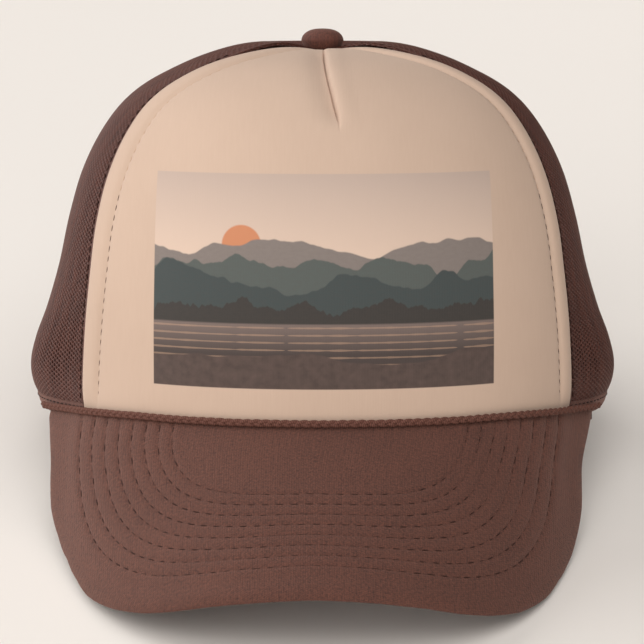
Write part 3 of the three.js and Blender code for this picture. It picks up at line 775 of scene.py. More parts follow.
# Dark thread; low on the foam's front its darkness is painted shade of the sewn groove.
DARK_THREAD_AND_PAINTED_SHADE = spun_thread("dark_thread_and_painted_shade", "#1c0e0b", "#33201b")
PALE_THREAD = spun_thread("pale_polyester_thread", "#a58a74", "#c8aa93")
CORD_YARN = spun_thread("plaited_polyester_cord", "#3a211a", "#684237", 0.6)
STRAP_PLASTIC = moulded_plastic()
RIVET_STEEL = plated_steel()


# Crown


def levels_evenly(low, high, count, angle=0.0):
    """Levels at even steps up the crown's face."""
    levels = np.linspace(low, high, 2000)
    at = run_length(crown_face(angle, levels))
    return np.interp(np.linspace(0, at[-1], count), at, levels)


def height_up(levels, angle=0.0):
    """Distance up the crown's face from the rim to each level."""
    fine = np.linspace(0, TOP_LEVEL, 2000)
    return np.interp(levels, fine, run_length(crown_face(angle, fine)))


def dart_angle(level):
    x = np.interp(level, DART_LINE["level"], DART_LINE["x"])
    return np.degrees(np.arcsin(np.minimum(x / crown_value("side", level), 0.25)))


def dart_pinch(from_dart, level):
    spread_mm = np.where(from_dart < 0, DART["left"], DART["right"])
    fade = smooth(crown_value("height", level), DART["tip_height"], DART["full_height"])
    fade = fade * (1 - 0.85 * smooth(level, 11.3, 12.3))
    valley = DART["depth"] * np.exp(-np.abs(from_dart / spread_mm) ** 1.6)
    ridge = DART["ridge"] * np.exp(-(((from_dart - 3.6) / 2.6) ** 2))
    crease = DART["crease"] * np.exp(-((from_dart / 0.22) ** 2))
    return fade * (valley + crease - ridge)


def crest_fade(level):
    """How much of the turned edge's relief is left towards the crest."""
    return 1 - 0.75 * smooth(level, 11.2, 12.6)


def crest_drop(level):
    return FOAM["crest_drop"] * smooth(level, 10.2, 12)


def strip_relief(from_edge, level, up):
    """The turned edge's roll above the foam's face, its sewn groove, and the needle pulls along that."""
    share = smooth(crown_value("height", level), 3, 12) * crest_fade(level)
    roll = FOAM["puff"] * np.sin(np.pi * np.clip(from_edge / FOAM["strip"], 0, 1)) ** 0.8
    pulls = 1 + 0.22 * np.cos(2 * np.pi * up / FOAM["pitch"])
    groove = FOAM["groove"] * pulls * np.exp(-(((from_edge - FOAM["strip"]) / (FOAM["fade"] / 2)) ** 2))
    edge = FOAM["edge_drop"] * (1 - np.clip(from_edge / FOAM["edge_round"], 0, 1)) ** 2
    return share * (roll - groove) - edge


def foam_columns(level):
    """Angles of the foam's columns at a level: close together on the turned edges and round the dart."""
    nudge = span_angle(SEAM_GAP, level)
    reach = span_angle(1, level)
    seam = front_seam(-1, level) - nudge
    columns = STRIP_COLUMNS * reach * min(1, seam * FOAM["strip_most"] / (STRIP_COLUMNS[-1] * reach))
    centre = dart_angle(level) + DART_COLUMNS
    left = nudge - front_seam(-1, level) + columns
    right = (front_seam(1, level) - nudge - columns * FOAM["right_share"])[::-1]
    left_field = left[-1] + (centre[0] - left[-1]) * FIELD_COLUMNS
    right_field = centre[-1] + (right[0] - centre[-1]) * FIELD_COLUMNS
    return np.concatenate([left, left_field, centre, right_field, right])


def foam_places(levels):
    """Each point of the foam's grid as its angle and its distances from the seam, the dart and the middle."""
    places = []
    for level in levels:
        angles = foam_columns(level)
        reach = span_angle(1, level)
        side = np.sign(angles)
        share = np.where(side > 0, FOAM["right_share"], 1)
        from_edge = (front_seam(side, level) - np.abs(angles)) / reach / share
        from_dart = (angles - dart_angle(level)) / reach
        arc = run_length(crown_face(angles, level))
        places.append((angles, from_edge, from_dart, arc - np.interp(0, angles, arc)))
    return np.swapaxes(np.array(places), 0, 1)


def foam_front():
    levels = levels_evenly(0, TOP_LEVEL - 0.02, 150)
    grid, from_edge, from_dart, around = foam_places(levels)
    up = np.broadcast_to(height_up(levels)[:, None], grid.shape)
    level = np.broadcast_to(levels[:, None], grid.shape)
    pinch = dart_pinch(from_dart, level)
    drop = crest_drop(level)
    outer = crown_point(grid, level, pinch + drop - strip_relief(from_edge, level, up))
    inner = crown_point(grid, level, FOAM["thickness"] + pinch + drop * 0.8)
    points, faces, uv = shell(outer, inner, np.stack([around, up], -1))
    piece = add_piece("foam_front", points, faces, uv, FOAM_COVER, ["front_panel"], "foam")
    piece.data.materials.append(BARE_FOAM)
    corners = np.empty(len(piece.data.loops), int)
    piece.data.loops.foreach_get("vertex_index", corners)
    loops = [corners[p.loop_start : p.loop_start + p.loop_total] for p in piece.data.polygons]
    piece.data.polygons.foreach_set("material_index", [int(all(loop >= grid.size)) for loop in loops])


def foam_topstitching():
    """The row that holds down the turned edge: pale thread near the crest, and dark thread low on the front
    that is painted shade of the sewn groove.
    """
    for name, low, high, thread in (
        # The dark thread low on the front is painted shade: the groove's shadow drawn as the thread's colour.
        ("foam_topstitching_low_painted_shade", 4, 76, DARK_THREAD_AND_PAINTED_SHADE),
        ("foam_topstitching_high", 76, 121, PALE_THREAD),
    ):
        rows = []
        for side in (-1, 1):
            run = levels_evenly(level_at(low), level_at(high), 260)
            widest = front_seam(-1, run) * FOAM["strip_most"]
            squeeze = np.minimum(1, widest / (STRIP_COLUMNS[-1] * span_angle(1, run)))
            share = FOAM["right_share"] if side > 0 else 1
            angle = side * (front_seam(side, run) - span_angle(FOAM["strip"] * share, run) * squeeze)
            inset = FOAM["groove"] * crest_fade(run) - 0.02 + crest_drop(run)
            rows.append(crown_stitches(angle, run, inset, FOAM["pitch"], share=0.78, radius=0.11, lift=0.02))
        add_piece(name, *joined(rows), thread)


def net_frame(edge_from, edge_to):
    """Looks up the crown's angle and level from a place on a net panel laid flat: across from its middle line
    and up. Also gives the panel's half width at each height, and its height."""
    levels = np.linspace(0, TOP_LEVEL - 0.02, 140)
    share = np.linspace(0, 1, 121)
    start, end = edge_from(levels)[:, None], edge_to(levels)[:, None]
    angles = start + (end - start) * share
    face = crown_face(angles, levels[:, None])
    steps = np.linalg.norm(np.diff(face, axis=1), axis=2)
    arc = np.concatenate([np.zeros((len(levels), 1)), np.cumsum(steps, axis=1)], axis=1)
    arc -= arc[:, -1:] / 2
    up = run_length(face[:, len(share) // 2])
    reach = arc[:, -1].max() * 1.02
    flat = np.linspace(-reach, reach, 241)
    table = np.array([np.interp(flat, arc[k], angles[k]) for k in range(len(levels))])

    def look(across, height):
        row = np.interp(height, up, np.arange(len(levels)))
        column = np.clip((across + reach) / (2 * reach), 0, 1) * (len(flat) - 1)
        r, c = np.minimum(row.astype(int), len(levels) - 2), np.minimum(column.astype(int), len(flat) - 2)
        fr, fc = row - r, column - c
        low_row = table[r, c] * (1 - fc) + table[r, c + 1] * fc
        high_row = table[r + 1, c] * (1 - fc) + table[r + 1, c + 1] * fc
        return low_row * (1 - fr) + high_row * fr, np.interp(height, up, levels)

    def half_width(height):
        return np.interp(height, up, arc[:, -1])

    return look, half_width, up[-1]


# Corners of one cell, in sixths of its width and quarters of its height, and that unit in millimetres
NET_CORNERS = np.array([(4, 0), (2, 2), (-2, 2), (-4, 0), (-2, -2), (2, -2)])
NET_UNIT = np.array([NET["across"] / 6, NET["up"] / 4])


def net_centres(half_width, top):
    """The middle of each cell that lies on the panel laid flat."""
    j, i = np.meshgrid(np.arange(int(top / NET["up"]) + 2), np.arange(-60, 61), indexing="ij")
    centre = np.stack([6 * i, 4 * j + 2 * (i % 2)], -1).reshape(-1, 2)
    place = centre * NET_UNIT
    across, up = place[:, 0], place[:, 1]
    return centre[(np.abs(across) < half_width(up) + NET["across"] * 0.2) & (up > NET["bottom"])]


def net_holes(flat):
    """How far open each cell is. The knit is uneven: drawn tighter in slanting streaks, and nearly closed
    just above the hem."""
    streak = np.sin(flat @ (1.9, 0.55) + 2.2 * np.sin(flat @ (0.23, -0.31))) + np.sin(flat @ (0.7, 0.16) + 1)
    jitter = np.sin(flat @ (12.9, 78.2)) * 0.5
    opened = smooth(flat[:, 1] + 2.5 * np.sin(flat[:, 0] * 0.35), *NET["opening"])
    tight = NET["closed"] + (1 - NET["closed"]) * opened
    return NET["hole"] * tight * np.clip(1 + 0.16 * streak + 0.22 * jitter, 0.45, 1.35)


def net_edge(side, edge, inward, low, stations, even_at):
    """The net's turned edge along a seam: a narrow rounded ridge."""
    levels = levels_evenly(level_at(low), TOP_LEVEL - 0.05, stations, even_at)
    turn = full_turn(10)
    wide = 1.5 + 1.3 * np.cos(turn)
    deep = 0.52 * np.sin(turn)
    narrower = 1 - 0.6 * smooth(levels, 12, 13)
    offset = side * inward * span_angle(1, levels)[:, None] * wide[None, :] * narrower[:, None]
    angle = side * edge(levels)[:, None] + offset
    return tube(crown_point(angle, levels[:, None], net_inset(levels)[:, None] - deep[None, :]))


def net_panel(name, side, edge_from, edge_to, keep, node, first_edge):
    """A panel of hexagonal net. Each hole's edge lies in the net's middle and each bar swells between two
    holes."""
    look, half_width, top = net_frame(edge_from, edge_to)
    centre = net_centres(half_width, top)
    angle, level = look(*(centre * NET_UNIT).T)
    centre = centre[keep(side * angle, level)]
    corner = centre[:, None, :] + NET_CORNERS
    keys, index = np.unique(corner.reshape(-1, 2), axis=0, return_inverse=True)
    index = index.reshape(-1, 6)
    spots = keys * NET_UNIT
    hole = net_holes(centre * NET_UNIT)
    rim = (centre[:, None, :] + NET_CORNERS * hole[:, None, None]) * NET_UNIT
    bar_angle, bar_level = look(spots[:, 0], spots[:, 1])
    rim_angle, rim_level = look(rim[..., 0].ravel(), rim[..., 1].ravel())
    outer = crown_point(side * bar_angle, bar_level, net_inset(bar_level) - NET["half_thick"])
    inner = crown_point(side * bar_angle, bar_level, net_inset(bar_level) + NET["half_thick"])
    middle = crown_point(side * rim_angle, rim_level, net_inset(rim_level))
    n = len(keys)
    ring = 2 * n + np.arange(len(centre) * 6).reshape(-1, 6)
    after, ring_after = np.roll(index, -1, 1), np.roll(ring, -1, 1)
    front = np.stack([index, after, ring_after, ring], -1).reshape(-1, 4)
    back = np.stack([index + n, ring, ring_after, after + n], -1).reshape(-1, 4)
    points = np.concatenate([outer, inner, middle])
    uv = np.concatenate([spots, spots, rim.reshape(-1, 2)])
    parts = [(points, np.concatenate([front, back]), uv)]
    parts.append(net_edge(side, edge_from, 1, **first_edge))
    parts.append(net_edge(side, edge_to, -1, **FULL_EDGE))
    add_piece(name, *joined(parts), KNITTED_NET, [node], "net")


def clear_of_arch(angle, level):
    """Where the rear opening, with its binding's room, doesn't reach."""
    face = crown_face(angle, level)
    across = (np.abs(face[:, 0]) / (ARCH["half_width"] + 2.2)) ** ARCH["power"]
    return across + (crown_value("height", level) / (ARCH["height"] + 2.2)) ** ARCH["power"] > 1


def everywhere(angle, level):
    return np.ones_like(level, bool)


def net_panels():
    def foam_edge(levels):
        return front_seam(side, levels) + span_angle(SEAM_GAP, levels)

    def side_edge_front(levels):
        return SIDE_SEAM - span_angle(SEAM_GAP, levels)

    def side_edge_back(levels):
        return SIDE_SEAM + span_angle(SEAM_GAP, levels)

    def back_edge(levels):
        return BACK_SEAM - span_angle(SEAM_GAP, levels)

    for name, side in (("right", 1), ("left", -1)):
        node = f"mesh_side_{name}"
        net_panel(f"net_side_{name}", side, foam_edge, side_edge_front, everywhere, node, FULL_EDGE)
        node = f"mesh_back_{name}"
        net_panel(f"net_back_{name}", side, back_edge, side_edge_back, clear_of_arch, node, BACK_EDGE)


def seam_rows():
    """Twin rows of stitches beside the net's seams, which hold the tapes inside."""

    def row(angle, run):
        return crown_stitches(angle, run, net_inset(run) - 0.5, 3.1, share=0.7, lift=0.1)

    runs = []
    for seam, sides in ((SIDE_SEAM, (-1, 1)), (BACK_SEAM, (1,))):
        for side in sides:
            low = HEM["leg"] + 1 if seam == SIDE_SEAM else ARCH["height"] + ARCH["leg"] + 1
            run = levels_evenly(level_at(low), level_at(122.5), 240, 90)
            for offset in (-TAPE["rows"], TAPE["rows"]):
                runs.append(row(side * seam + span_angle(offset, run), run))
    for side in (-1, 1):
        run = levels_evenly(level_at(HEM["leg"] + 1), level_at(121), 240, 60)
        runs.append(row(side * (front_seam(side, run) + span_angle(3.2, run)), run))
    add_piece("net_seam_stitching", *joined(runs), BROWN_THREAD)


def seam_tape(name, angle_at, bottom, inset):
    """A woven tape inside a seam, slightly crowned. Gives back its two rows of stitches."""
    levels = levels_evenly(level_at(bottom), level_at(122.6), 120, 90)
    across = np.linspace(-1, 1, 15)
    crown = 0.25 * (1 - across**4)
    angle = angle_at(levels)[:, None] + across[None, :] * span_angle(TAPE["half_width"], levels)[:, None]
    outer = crown_point(angle, levels[:, None], inset + 0.05)
    inner = crown_point(angle, levels[:, None], inset + TAPE["thickness"] + crown)
    uv = np.stack(np.broadcast_arrays(across * TAPE["half_width"], height_up(levels)[:, None]), -1)
    add_piece(f"tape_{name}", *shell(outer, inner, uv), WOVEN_TAPE, [f"seam_tape_{name}"], "tape")
    rows = []
    for offset in (-TAPE["rows"], TAPE["rows"]):
        edge = angle_at(levels) + span_angle(offset, levels)
        path = crown_point(edge, levels, inset + TAPE["thickness"] + 0.24)
        out = unit(crown_point(edge, levels, inset + 2) - path)
        rows.append(stitches(path, out, 3.1, lift=0.08, sides=4))
    return rows


def seam_tapes():
    def over_foam(levels):
        return side * front_seam(side, levels)

    def over_side(levels):
        return np.full_like(levels, side * SIDE_SEAM)

    def over_back(levels):
        return np.full_like(levels, BACK_SEAM)

    rows = []
    under_foam = FOAM["thickness"] + 0.3
    under_net = NET["inset"] + 0.5 + NET["half_thick"]
    for name, side in (("right", 1), ("left", -1)):
        rows += seam_tape(f"front_{name}", over_foam, TAPE["bottom"], under_foam)
        rows += seam_tape(f"side_{name}", over_side, TAPE["bottom"], under_net)
    rows += seam_tape("back", over_back, ARCH["height"] + ARCH["leg"] + 0.3, under_net)
    add_piece("tape_stitching", *joined(rows), BROWN_THREAD)


# Bindings, band and strap


def fold_section(leg):
    """A folded binding's section as (distance from the fold, inset) pairs: from the front face's edge round
    the fold to the back face's, and back along the inside."""
    back, t = FOLD["thickness"], FOLD["tape"]
    turns = np.linspace(-np.pi / 2, np.pi / 2, 9)
    fold = [(1.0 - 1.0 * math.cos(a), back / 2 + back / 2 * math.sin(a)) for a in turns]
    hollow = back / 2 - t
    inner = [(1.0 + t * 0.2 - 0.6 * math.cos(a), back / 2 + hollow * math.sin(a)) for a in turns[::-1]]
    run = np.linspace(1.0, leg - 0.4, 9)[1:]
    front_out = [(x, 0.0) for x in run[::-1]]
    front_in = [(x, t) for x in run]
    back_in = [(x, back - t) for x in run[::-1]]
    back_out = [(x, back) for x in run]
    tip_front = [(leg - 0.1, t * 0.15), (leg, t * 0.5), (leg - 0.1, t * 0.85)]
    tip_back = [(leg - 0.1, back - t * 0.15), (leg, back - t * 0.5), (leg - 0.1, back - t * 0.85)]
    return np.array(front_out + fold + back_out + tip_back + back_in + inner + front_in + tip_front)


def hem_bindings():
    section = fold_section(HEM["leg"])
    level = level_at(section[:, 0])
    share = np.linspace(0, 1, 120)
    ripple = 0.04 * np.sin(share * 190)[:, None] * smooth(section[:, 0], 1, 4)[None, :]
    tuck = HEM["tuck"] * smooth(section[:, 0], 2, HEM["leg"]) * (section[:, 1] < FOLD["tape"] + 0.1)
    at = level_at(np.full(400, HEM["row"]))
    sunk = HEM["tuck"] * smooth(HEM["row"], 2, HEM["leg"])
    rows = []
    for name, side in (("right", 1), ("left", -1)):
        start = front_seam(side, level) + span_angle(SEAM_GAP, level)
        end = np.abs(back_angle(ARCH["half_width"], level))
        angle = side * (start[None, :] + (end - start)[None, :] * share[:, None])
        inset = (section[:, 1] + tuck)[None, :] + ripple
        rings = crown_point(angle, np.broadcast_to(level, angle.shape), inset)
        add_piece(f"hem_binding_{name}", *tube(rings), WOVEN_TAPE, [f"hem_{name}"], "tape")
        first = front_seam(side, at) + span_angle(1.0, at)
        last = np.abs(back_angle(ARCH["half_width"] + 1, at))
        turn = side * (first + (last - first) * np.linspace(0, 1, 400))
        rows.append(crown_stitches(turn, at, sunk, 3.0, share=0.74, lift=0.1))
    add_piece("hem_stitching", *joined(rows), DARK_THREAD_AND_PAINTED_SHADE)


def over_arch(foot, count):
    """Turns from one foot of the arch over its top to the other, and the side of the middle each is on."""
    half = np.linspace(foot, np.pi / 2, count)
    down = np.linspace(np.pi / 2, foot, count)[1:]
    return np.concatenate([half, down]), np.concatenate([-np.ones(count), np.ones(count - 1)])


def arch_binding():
    section = fold_section(ARCH["leg"])
    lowest = HEM["leg"] + 0.3
    foot = math.asin((lowest / ARCH["height"]) ** (ARCH["power"] / 2))
    rings = []
    for turn, mirror in zip(*over_arch(foot, 60)):
        x, height = arch_point(turn, section[:, 0])
        level = level_at(np.maximum(height, lowest))
        rings.append(crown_point(back_angle(mirror * x, level), level, section[:, 1]))
    add_piece("opening_binding", *tube(np.array(rings)), WOVEN_TAPE, ["arch_binding"], "tape")
    rows = []
    turn, mirror = over_arch(foot + 0.04, 90)
    for out in (1.4, ARCH["leg"] - 1.1):
        x, height = arch_point(turn, out)
        level = level_at(height)
        angle = back_angle(mirror * np.maximum(x, 1e-3), level)
        rows.append(crown_stitches(angle, level, 0.0, 3.0, share=0.74, lift=0.1))
    add_piece("opening_stitching", *joined(rows), DARK_THREAD_AND_PAINTED_SHADE)


def sweatband():
    heights = np.concatenate([[0.8, 1.0, 1.5], np.linspace(2.5, 32, 18), [33, 33.6, 34]])
    levels = level_at(heights)
    share = np.linspace(-1, 1, 261)
    angle = np.abs(back_angle(ARCH["half_width"] + 13.3, levels))[:, None] * share[None, :]
    level = np.broadcast_to(levels[:, None], angle.shape)
    wave = 0.18 * np.sin(share * 23)[None, :] * smooth(heights, 8, 30)[:, None]
    wave = wave + 0.08 * np.sin(share * 61 + 1)[None, :] + SWEATBAND["clear"]
    edge_roll = 0.35 * (1 - smooth(heights, 0.8, 3) + smooth(heights, 31.5, 34))[:, None]
    inside = SWEATBAND["inset"] + SWEATBAND["thickness"]
    outer = crown_point(angle, level, SWEATBAND["inset"] + wave + edge_roll)
    inner = crown_point(angle, level, inside - 0.2 + wave - edge_roll)
    uv = np.stack(np.broadcast_arrays(np.radians(angle) * 90, heights[:, None]), -1)
    add_piece("sweatband_cloth", *shell(outer, inner, uv), BAND_TWILL, ["sweatband"], "band")
    rows = []
    for height in (3.4, 30.5):
        at = level_at(np.full(500, height))
        turn = np.linspace(-1, 1, 500) * np.abs(back_angle(ARCH["half_width"] + 14.5, at))
        path = crown_point(turn, at, inside + 0.22)
        out = unit(crown_point(turn, at, inside + 1.22) - path)
        rows.append(stitches(path, out, 3.4, lift=0.12, sides=4))
    add_piece("sweatband_stitching", *joined(rows), BROWN_THREAD)


STRAP_MIDDLE = (STRAP["bottom"] + STRAP["top"]) / 2


def strap_cells(xs, ys, holes):
    """The flat strap as rows of four corners, without the squares round its holes."""
    cells = []
    for a, b in zip(xs[:-1], xs[1:]):
        at_hole = len(holes) and np.min(np.abs(holes - (a + b) / 2)) < STRAP["square"]
        for c, d in zip(ys[:-1], ys[1:]):
            if not at_hole or abs((c + d) / 2 - STRAP_MIDDLE) >= STRAP["square"]:
                cells.append([(a, c), (b, c), (b, d), (a, d)])
    return np.array(cells)


def hole_ring(x):
    """The cells between a round hole and the square round it."""
    turn = full_turn(24) + np.pi / 4
    circle = np.stack([np.cos(turn), np.sin(turn)], -1)
    square = circle / np.max(np.abs(circle), axis=1, keepdims=True) * STRAP["square"] + (x, STRAP_MIDDLE)
    circle = circle * STRAP["hole"] + (x, STRAP_MIDDLE)
    return np.stack([square, np.roll(square, -1, 0), np.roll(circle, -1, 0), circle], 1)


def strap_half(from_x, to_x, inset, holes):
    """One half of the snap strap, its free end rounded, with a row of punched holes if holes lists their
    places."""
    low, high, middle = STRAP["bottom"], STRAP["top"], STRAP_MIDDLE
    half = (high - low) / 2
    square = STRAP["square"]
    free = from_x if abs(from_x) < abs(to_x) else to_x
    inwards = 1 if free == from_x else -1
    xs = np.linspace(from_x, to_x, 60)
    if len(holes):
        xs = np.unique(np.round(np.concatenate([xs, holes - square, holes + square]), 3))
    from_low = np.array([0, 0.5, 2, 3.8])
    ys = np.concatenate([low + from_low, [middle - square, middle + square], (high - from_low)[::-1]])
    quads = np.concatenate([strap_cells(xs, ys, holes), *map(hole_ring, holes)])
    spots, index = np.unique(np.round(quads.reshape(-1, 2), 4), axis=0, return_inverse=True)
    index = index.reshape(-1, 4)
    x, y = spots[:, 0], spots[:, 1]
    drawn = 1 - np.sqrt(np.clip(1 - (np.abs(y - middle) / (half * 1.02)) ** 3, 0, 1))
    x = x + inwards * STRAP["rounding"] * drawn * (1 - smooth(np.abs(x - free), 0, 16))
    level = level_at(y)
    angle = back_angle(np.where(np.abs(x) < 1e-3, 1e-3, x), level)
    front = crown_point(angle, level, inset)
    back = crown_point(angle, level, inset + STRAP["thickness"])
    n = len(spots)
    edges = np.concatenate([index[:, [k, (k + 1) % 4]] for k in range(4)])
    _, first, times = np.unique(np.sort(edges, 1), axis=0, return_index=True, return_counts=True)
    border = edges[first[times == 1]]
    walls = np.stack([border[:, 0], border[:, 0] + n, border[:, 1] + n, border[:, 1]], -1)
    faces = np.concatenate([index, index[:, ::-1] + n, walls])
    return np.concatenate([front, back]), faces, np.concatenate([np.stack([x, y], -1)] * 2)


STUD = (  # radius and depth of the shank, lip and domed head
    (1.35, 0.02),
    (1.3, -0.55),
    (1.35, -0.95),
    (1.75, -1.05),
    (1.95, -1.3),
    (1.85, -1.6),
    (1.3, -1.85),
    (0.6, -1.95),
)


def strap_stud(x):
    """A moulded stud on the inner half, standing out through a hole."""
    turn = full_turn(20)
    rings = []
    for radius, depth in STUD:
        level = level_at(STRAP_MIDDLE + radius * np.sin(turn))
        angle = back_angle(x + radius * np.cos(turn) + 1e-3, level)
        rings.append(crown_point(angle, level, STRAP["inset"] + STRAP["under"] + depth))
    return tube(np.array(rings))


def snap_strap():
    lap, end = STRAP["lap"], STRAP["end"]
    holes = -lap + 5 + STRAP["hole_pitch"] * np.arange(0, 6.0)
    holes = holes[holes < lap - 6]
    outer = strap_half(-end, lap - 2, STRAP["inset"], holes)
    inner = strap_half(-lap, end, STRAP["inset"] + STRAP["under"], np.array([]))
    add_piece("snap_strap_outer", *outer, STRAP_PLASTIC, ["rear_strap"], "strap")
    add_piece("snap_strap_inner", *joined([inner, *map(strap_stud, holes)]), STRAP_PLASTIC, slot="strap")


# Peak, cord and button


def row_size(row):
    """Half width, base and reach of a stitch row, which may be a fractional number."""
    wide = ROWS["half_width"] + ROWS["width_step"] * row
    base = ROWS["base"] + ROWS["base_step"] * row
    return wide, base, ROWS["reach"] + ROWS["reach_step"] * row


def row_place(x, along):
    """Which stitch row a point of the peak is on, as a fractional number: 0 is the innermost."""
    low, high = np.full(x.shape, -3.0), np.full(x.shape, 14.0)
    for _ in range(26):
        row = (low + high) / 2
        wide, base, reach = row_size(row)
        up = np.maximum(along - base, 0) / (reach - base)
        outside = (np.abs(x) / wide) ** ROWS["power"] + up ** ROWS["power"] > 1
        low, high = np.where(outside, row, low), np.where(outside, high, row)
    return (low + high) / 2


def rib_relief(x, along):
    """Height of the peak's cloth: pulled down at each stitch row and puffed between them."""
    row = row_place(x, along)
    nearest = np.clip(np.round(row), 0, ROWS["count"] - 1)
    gap = (row - nearest) * ROWS["reach_step"]
    within = smooth(row, -0.9, -0.2) * (1 - smooth(row, ROWS["count"] - 0.8, ROWS["count"] + 0.1))
    puff = 0.16 * within * (1 - np.cos(2 * np.pi * np.clip(row - nearest, -0.5, 0.5))) / 2
    pulls = 0.75 + 0.25 * np.cos(2 * np.pi * (x + 0.35 * along) / ROWS["pitch"])
    return puff - ROWS["depth"] * pulls * np.exp(-((gap / 0.42) ** 2))


def peak_face(x, along, raised):
    """The peak's upper face, raised square to it."""
    step = 0.2
    across = peak_point(x + step, along) - peak_point(x - step, along)
    ahead = peak_point(x, along + step) - peak_point(x, along - step)
    normal = unit(np.cross(ahead, across))
    normal = normal * np.sign(normal[..., 2:3] + 1e-12)
    return peak_point(x, along) + normal * np.asarray(raised)[..., None], normal


def peak_cloth():
    """The ribbed upper face, the rolled rim and the plainer under face, in rings from tip to tip."""
    shares = np.linspace(0, 1, 331)
    edge_x, edge_along = peak_edge(shares)
    root_x = root_line(PEAK["end_angle"] * (2 * shares - 1))[:, 0]
    root_a = root_along(root_x)
    tangent = unit(np.stack([np.gradient(edge_x), np.gradient(edge_along)], -1))
    outward = np.stack([-tangent[:, 1], tangent[:, 0]], -1)
    outward *= np.sign(np.sum(outward * np.stack([edge_x, edge_along + 60], -1), -1))[:, None]
    lip = np.minimum(PEAK["lip"], np.hypot(edge_x - root_x, edge_along - root_a) * 0.35)
    inner_x, inner_along = edge_x - outward[:, 0] * lip, edge_along - outward[:, 1] * lip

    def places(t):
        """Rows of places from the root (0) to the rim (1)."""
        return root_x + (inner_x - root_x) * t[:, None], root_a + (inner_along - root_a) * t[:, None]

    x, along = places(np.linspace(0, 1, 128))
    top, _ = peak_face(x, along, rib_relief(x, along))
    roll = []
    for turn in np.linspace(0, np.pi, 13)[1:]:
        out = lip * 1.12 * math.sin(turn)
        drop = PEAK["thick"] / 2 * (1 - math.cos(turn))
        roll.append(peak_point(inner_x + outward[:, 0] * out, inner_along + outward[:, 1] * out, drop))
    under_x, under_along = places(np.linspace(1, 0, 32))
    under = peak_point(under_x, under_along, PEAK["thick"] - 0.6 * rib_relief(under_x, under_along))
    loop = np.concatenate([top, np.array(roll), under[1:]])
    step = np.linalg.norm(np.diff(loop, axis=0), axis=-1)
    girth = np.concatenate([np.zeros((1, loop.shape[1])), np.cumsum(step, 0)])
    rim_along = along[-1] + girth[len(x) : len(x) + len(roll)] - girth[len(x) - 1]
    across = np.concatenate([x, np.array([edge_x] * len(roll)), under_x[1:]])
    forwards = np.concatenate([along, rim_along, under_along[1:]])
    uv = np.swapaxes(np.stack([across, forwards], -1), 0, 1)
    add_piece("peak_cloth", *tube(np.swapaxes(loop, 0, 1), uv), PEAK_TWILL, ["peak"], "cloth")


def peak_stitching():
    rows = []
    power = 2 / ROWS["power"]
    turn = np.linspace(0, np.pi, 900)
    for row in range(ROWS["count"]):
        wide, base, reach = row_size(row)
        x = wide * signed_power(np.cos(turn), power)
        along = base + (reach - base) * np.sin(turn) ** power
        clear = along > root_along(x) + 0.8
        x, along = x[clear], along[clear]
        path, normal = peak_face(x, along, np.full(x.shape, -ROWS["depth"]))
        under = peak_point(x, along, PEAK["thick"] + 0.15)
        rows.append(stitches(path, normal, ROWS["pitch"], share=0.8, lift=0.12))
        rows.append(stitches(under, -normal, ROWS["pitch"], share=0.6, lift=0.06, sides=4))
    # The thread's dark tint is painted shade of the stitch grooves.
    add_piece("peak_stitching", *joined(rows), PEAK_THREAD_PAINTED_SHADE)


def plaited_cord():
    """Three twisted strands plaited flat: each sways to either side and passes over and under the others."""
    level = level_at(PEAK["root_height"] + CORD["rise"])
    angle = np.linspace(-CORD["end_angle"], CORD["end_angle"], 1500)
    path = resampled(crown_point(angle, level, -CORD["seat"]), CORD["step"])
    deep = resampled(crown_point(angle, level, -CORD["seat"] + 1.0), CORD["step"])
    count = min(len(path), len(deep))
    path = path[:count]
    ahead = unit(np.gradient(path, axis=0))
    turns = np.interp(np.arange(count), np.linspace(0, count - 1, len(angle)), angle)
    out = unit(crown_point(turns, level, -3.0) - crown_point(turns, level, 0.0))
    up = unit(np.cross(out, ahead))
    up = up * np.sign(up[:, 2:3])
    out = np.cross(ahead, up)
    out = out * np.sign(np.sum(out * (path - [0, 0, 30]), -1, keepdims=True))
    at = np.arange(count) * CORD["step"]
    taper = np.minimum(1, np.minimum(at, at[-1] - at) / 4 + 0.25)
    turn = full_turn(CORD["sides"])
    parts = []
    for k in range(3):
        phase = 2 * np.pi * (at / CORD["pitch"] + k / 3)
        wobble = 1 + 0.06 * np.sin(at * 0.41 + k)
        centre = path + up * (CORD["sway"] * np.sin(phase) * taper * wobble)[:, None]
        centre = centre + out * (CORD["lift"] * np.sin(2 * phase) * taper)[:, None]
        run = unit(np.gradient(centre, axis=0))
        side = unit(np.cross(run, out))
        face = np.cross(side, run)
        ring = np.cos(turn)[None, :, None] * side[:, None, :]
        ring = ring + np.sin(turn)[None, :, None] * face[:, None, :] * 0.86
        parts.append(tube(centre[:, None, :] + CORD["strand"] * taper[:, None, None] * ring))
    add_piece("plaited_cord", *joined(parts), CORD_YARN, ["cord"], "braid")


def button_ring(radius, height, turn):
    """A level ring about the button's middle, with its flat places."""
    flat = np.stack([radius * np.cos(turn), radius * np.sin(turn)], -1)
    x, y = flat[:, 0], flat[:, 1]
    return np.stack([x, BUTTON["middle"] + y, np.full_like(turn, BUTTON["base"] + height)], -1), flat


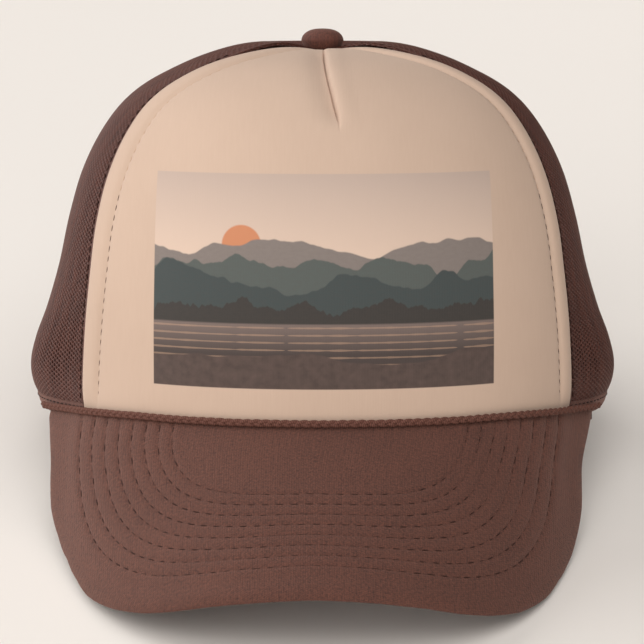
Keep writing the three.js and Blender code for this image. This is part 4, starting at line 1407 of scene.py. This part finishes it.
def cloth_button():
    """A cloth-covered button: a domed cap with the cloth gathered under it."""
    radius, height = BUTTON["radius"], BUTTON["height"]
    profile = [(2.0, 0.15), (3.0, 0.05)]
    profile += [(radius * r, height * z) for r, z in ((0.5, 0.05), (0.66, 0.1), (0.84, 0.2))]
    for turn in np.linspace(0, np.pi / 2, 15)[:-1]:
        profile.append((radius * math.cos(turn) ** 0.8, height * (0.48 + 0.52 * math.sin(turn))))
    profile.append((0.5, height * 0.999))
    turn = full_turn(64)
    rings = []
    for r, z in profile:
        gather = 0.18 * math.exp(-((z / (height * 0.32)) ** 2)) * (1 - smooth(r, 6.6, 7.4))
        wobble = gather * np.abs(np.sin(turn * 9 + 0.6 * np.sin(turn * 2))) + 0.03 * np.sin(3 * turn + 1)
        rings.append(button_ring(r - wobble, z, turn))
    points, flat = map(np.array, zip(*rings))
    add_piece("cloth_button", *tube(points, flat), BUTTON_TWILL, ["button"], "cloth")


RIVET = (  # radius and height of the washer and the shank
    (1.6, -8.35),
    (4.6, -8.35),
    (5.0, -8.2),
    (5.0, -7.8),
    (4.4, -7.6),
    (2.6, -7.5),
    (2.4, -7.0),
    (2.4, 0.2),
    (2.0, 0.6),
)


def button_rivet():
    """The riveted shank that holds the button through the tips of the panels."""
    rings = [button_ring(radius, height, full_turn(40))[0] for radius, height in RIVET]
    add_piece("button_rivet", *tube(np.array(rings)), RIVET_STEEL)


# Stage, camera and light


def stage():
    mesh = bpy.data.meshes.new("paper_floor")
    size = 6
    corners = [(-size, -size, 0), (size, -size, 0), (size, size, 0), (-size, size, 0)]
    mesh.from_pydata(corners, [], [(0, 1, 2, 3)])
    mesh.materials.append(studio_paper())
    floor = bpy.data.objects.new("paper_floor", mesh)
    bpy.context.collection.objects.link(floor)


def camera():
    """The photograph's view: 23 degrees down, from 1.1 m, with a long lens."""
    data = bpy.data.cameras.new("camera")
    data.sensor_width = 36
    data.lens = 174.6
    data.clip_start, data.clip_end = 0.05, 50
    eye = bpy.data.objects.new("camera", data)
    bpy.context.collection.objects.link(eye)
    target = Vector((-0.0002, 0.0317, 0.0503))
    tilt = math.radians(23)
    eye.location = target - 1.1 * Vector((0, math.cos(tilt), -math.sin(tilt)))
    eye.rotation_euler = (math.radians(90) - tilt, 0, 0)
    bpy.context.scene.camera = eye


def soft_light(name, towards, spread, energy):
    """Daylight through a window: towards is the way it shines, spread the angle that the window fills."""
    data = bpy.data.lights.new(name, "SUN")
    data.energy = energy
    data.angle = math.radians(spread)
    data.color = linear("#fffdfb")[:3]
    lamp = bpy.data.objects.new(name, data)
    bpy.context.collection.objects.link(lamp)
    lamp.rotation_mode = "QUATERNION"
    lamp.rotation_quaternion = Vector(towards).to_track_quat("-Z", "Y")


def lights():
    """Broad soft windows: one at the left and a little behind, one in front, and a weaker one overhead."""
    world = bpy.data.worlds.new("studio")
    world.use_nodes = True
    background = world.node_tree.nodes["Background"]
    background.inputs["Color"].default_value = linear("#fffefc")
    background.inputs["Strength"].default_value = 0.09
    bpy.context.scene.world = world
    soft_light("left_window", (0.8, -0.3, -0.45), 60, 2.15)
    soft_light("front_window", (0.19, 0.54, -0.29), 60, 1.9)
    soft_light("high_window", (-0.1, 0.18, -0.44), 60, 1.45)
    bpy.context.scene.view_settings.view_transform = "Standard"


stage()
camera()
lights()
foam_front()
foam_topstitching()
net_panels()
seam_rows()
seam_tapes()
hem_bindings()
arch_binding()
sweatband()
snap_strap()
peak_cloth()
peak_stitching()
plaited_cord()
cloth_button()
button_rivet()
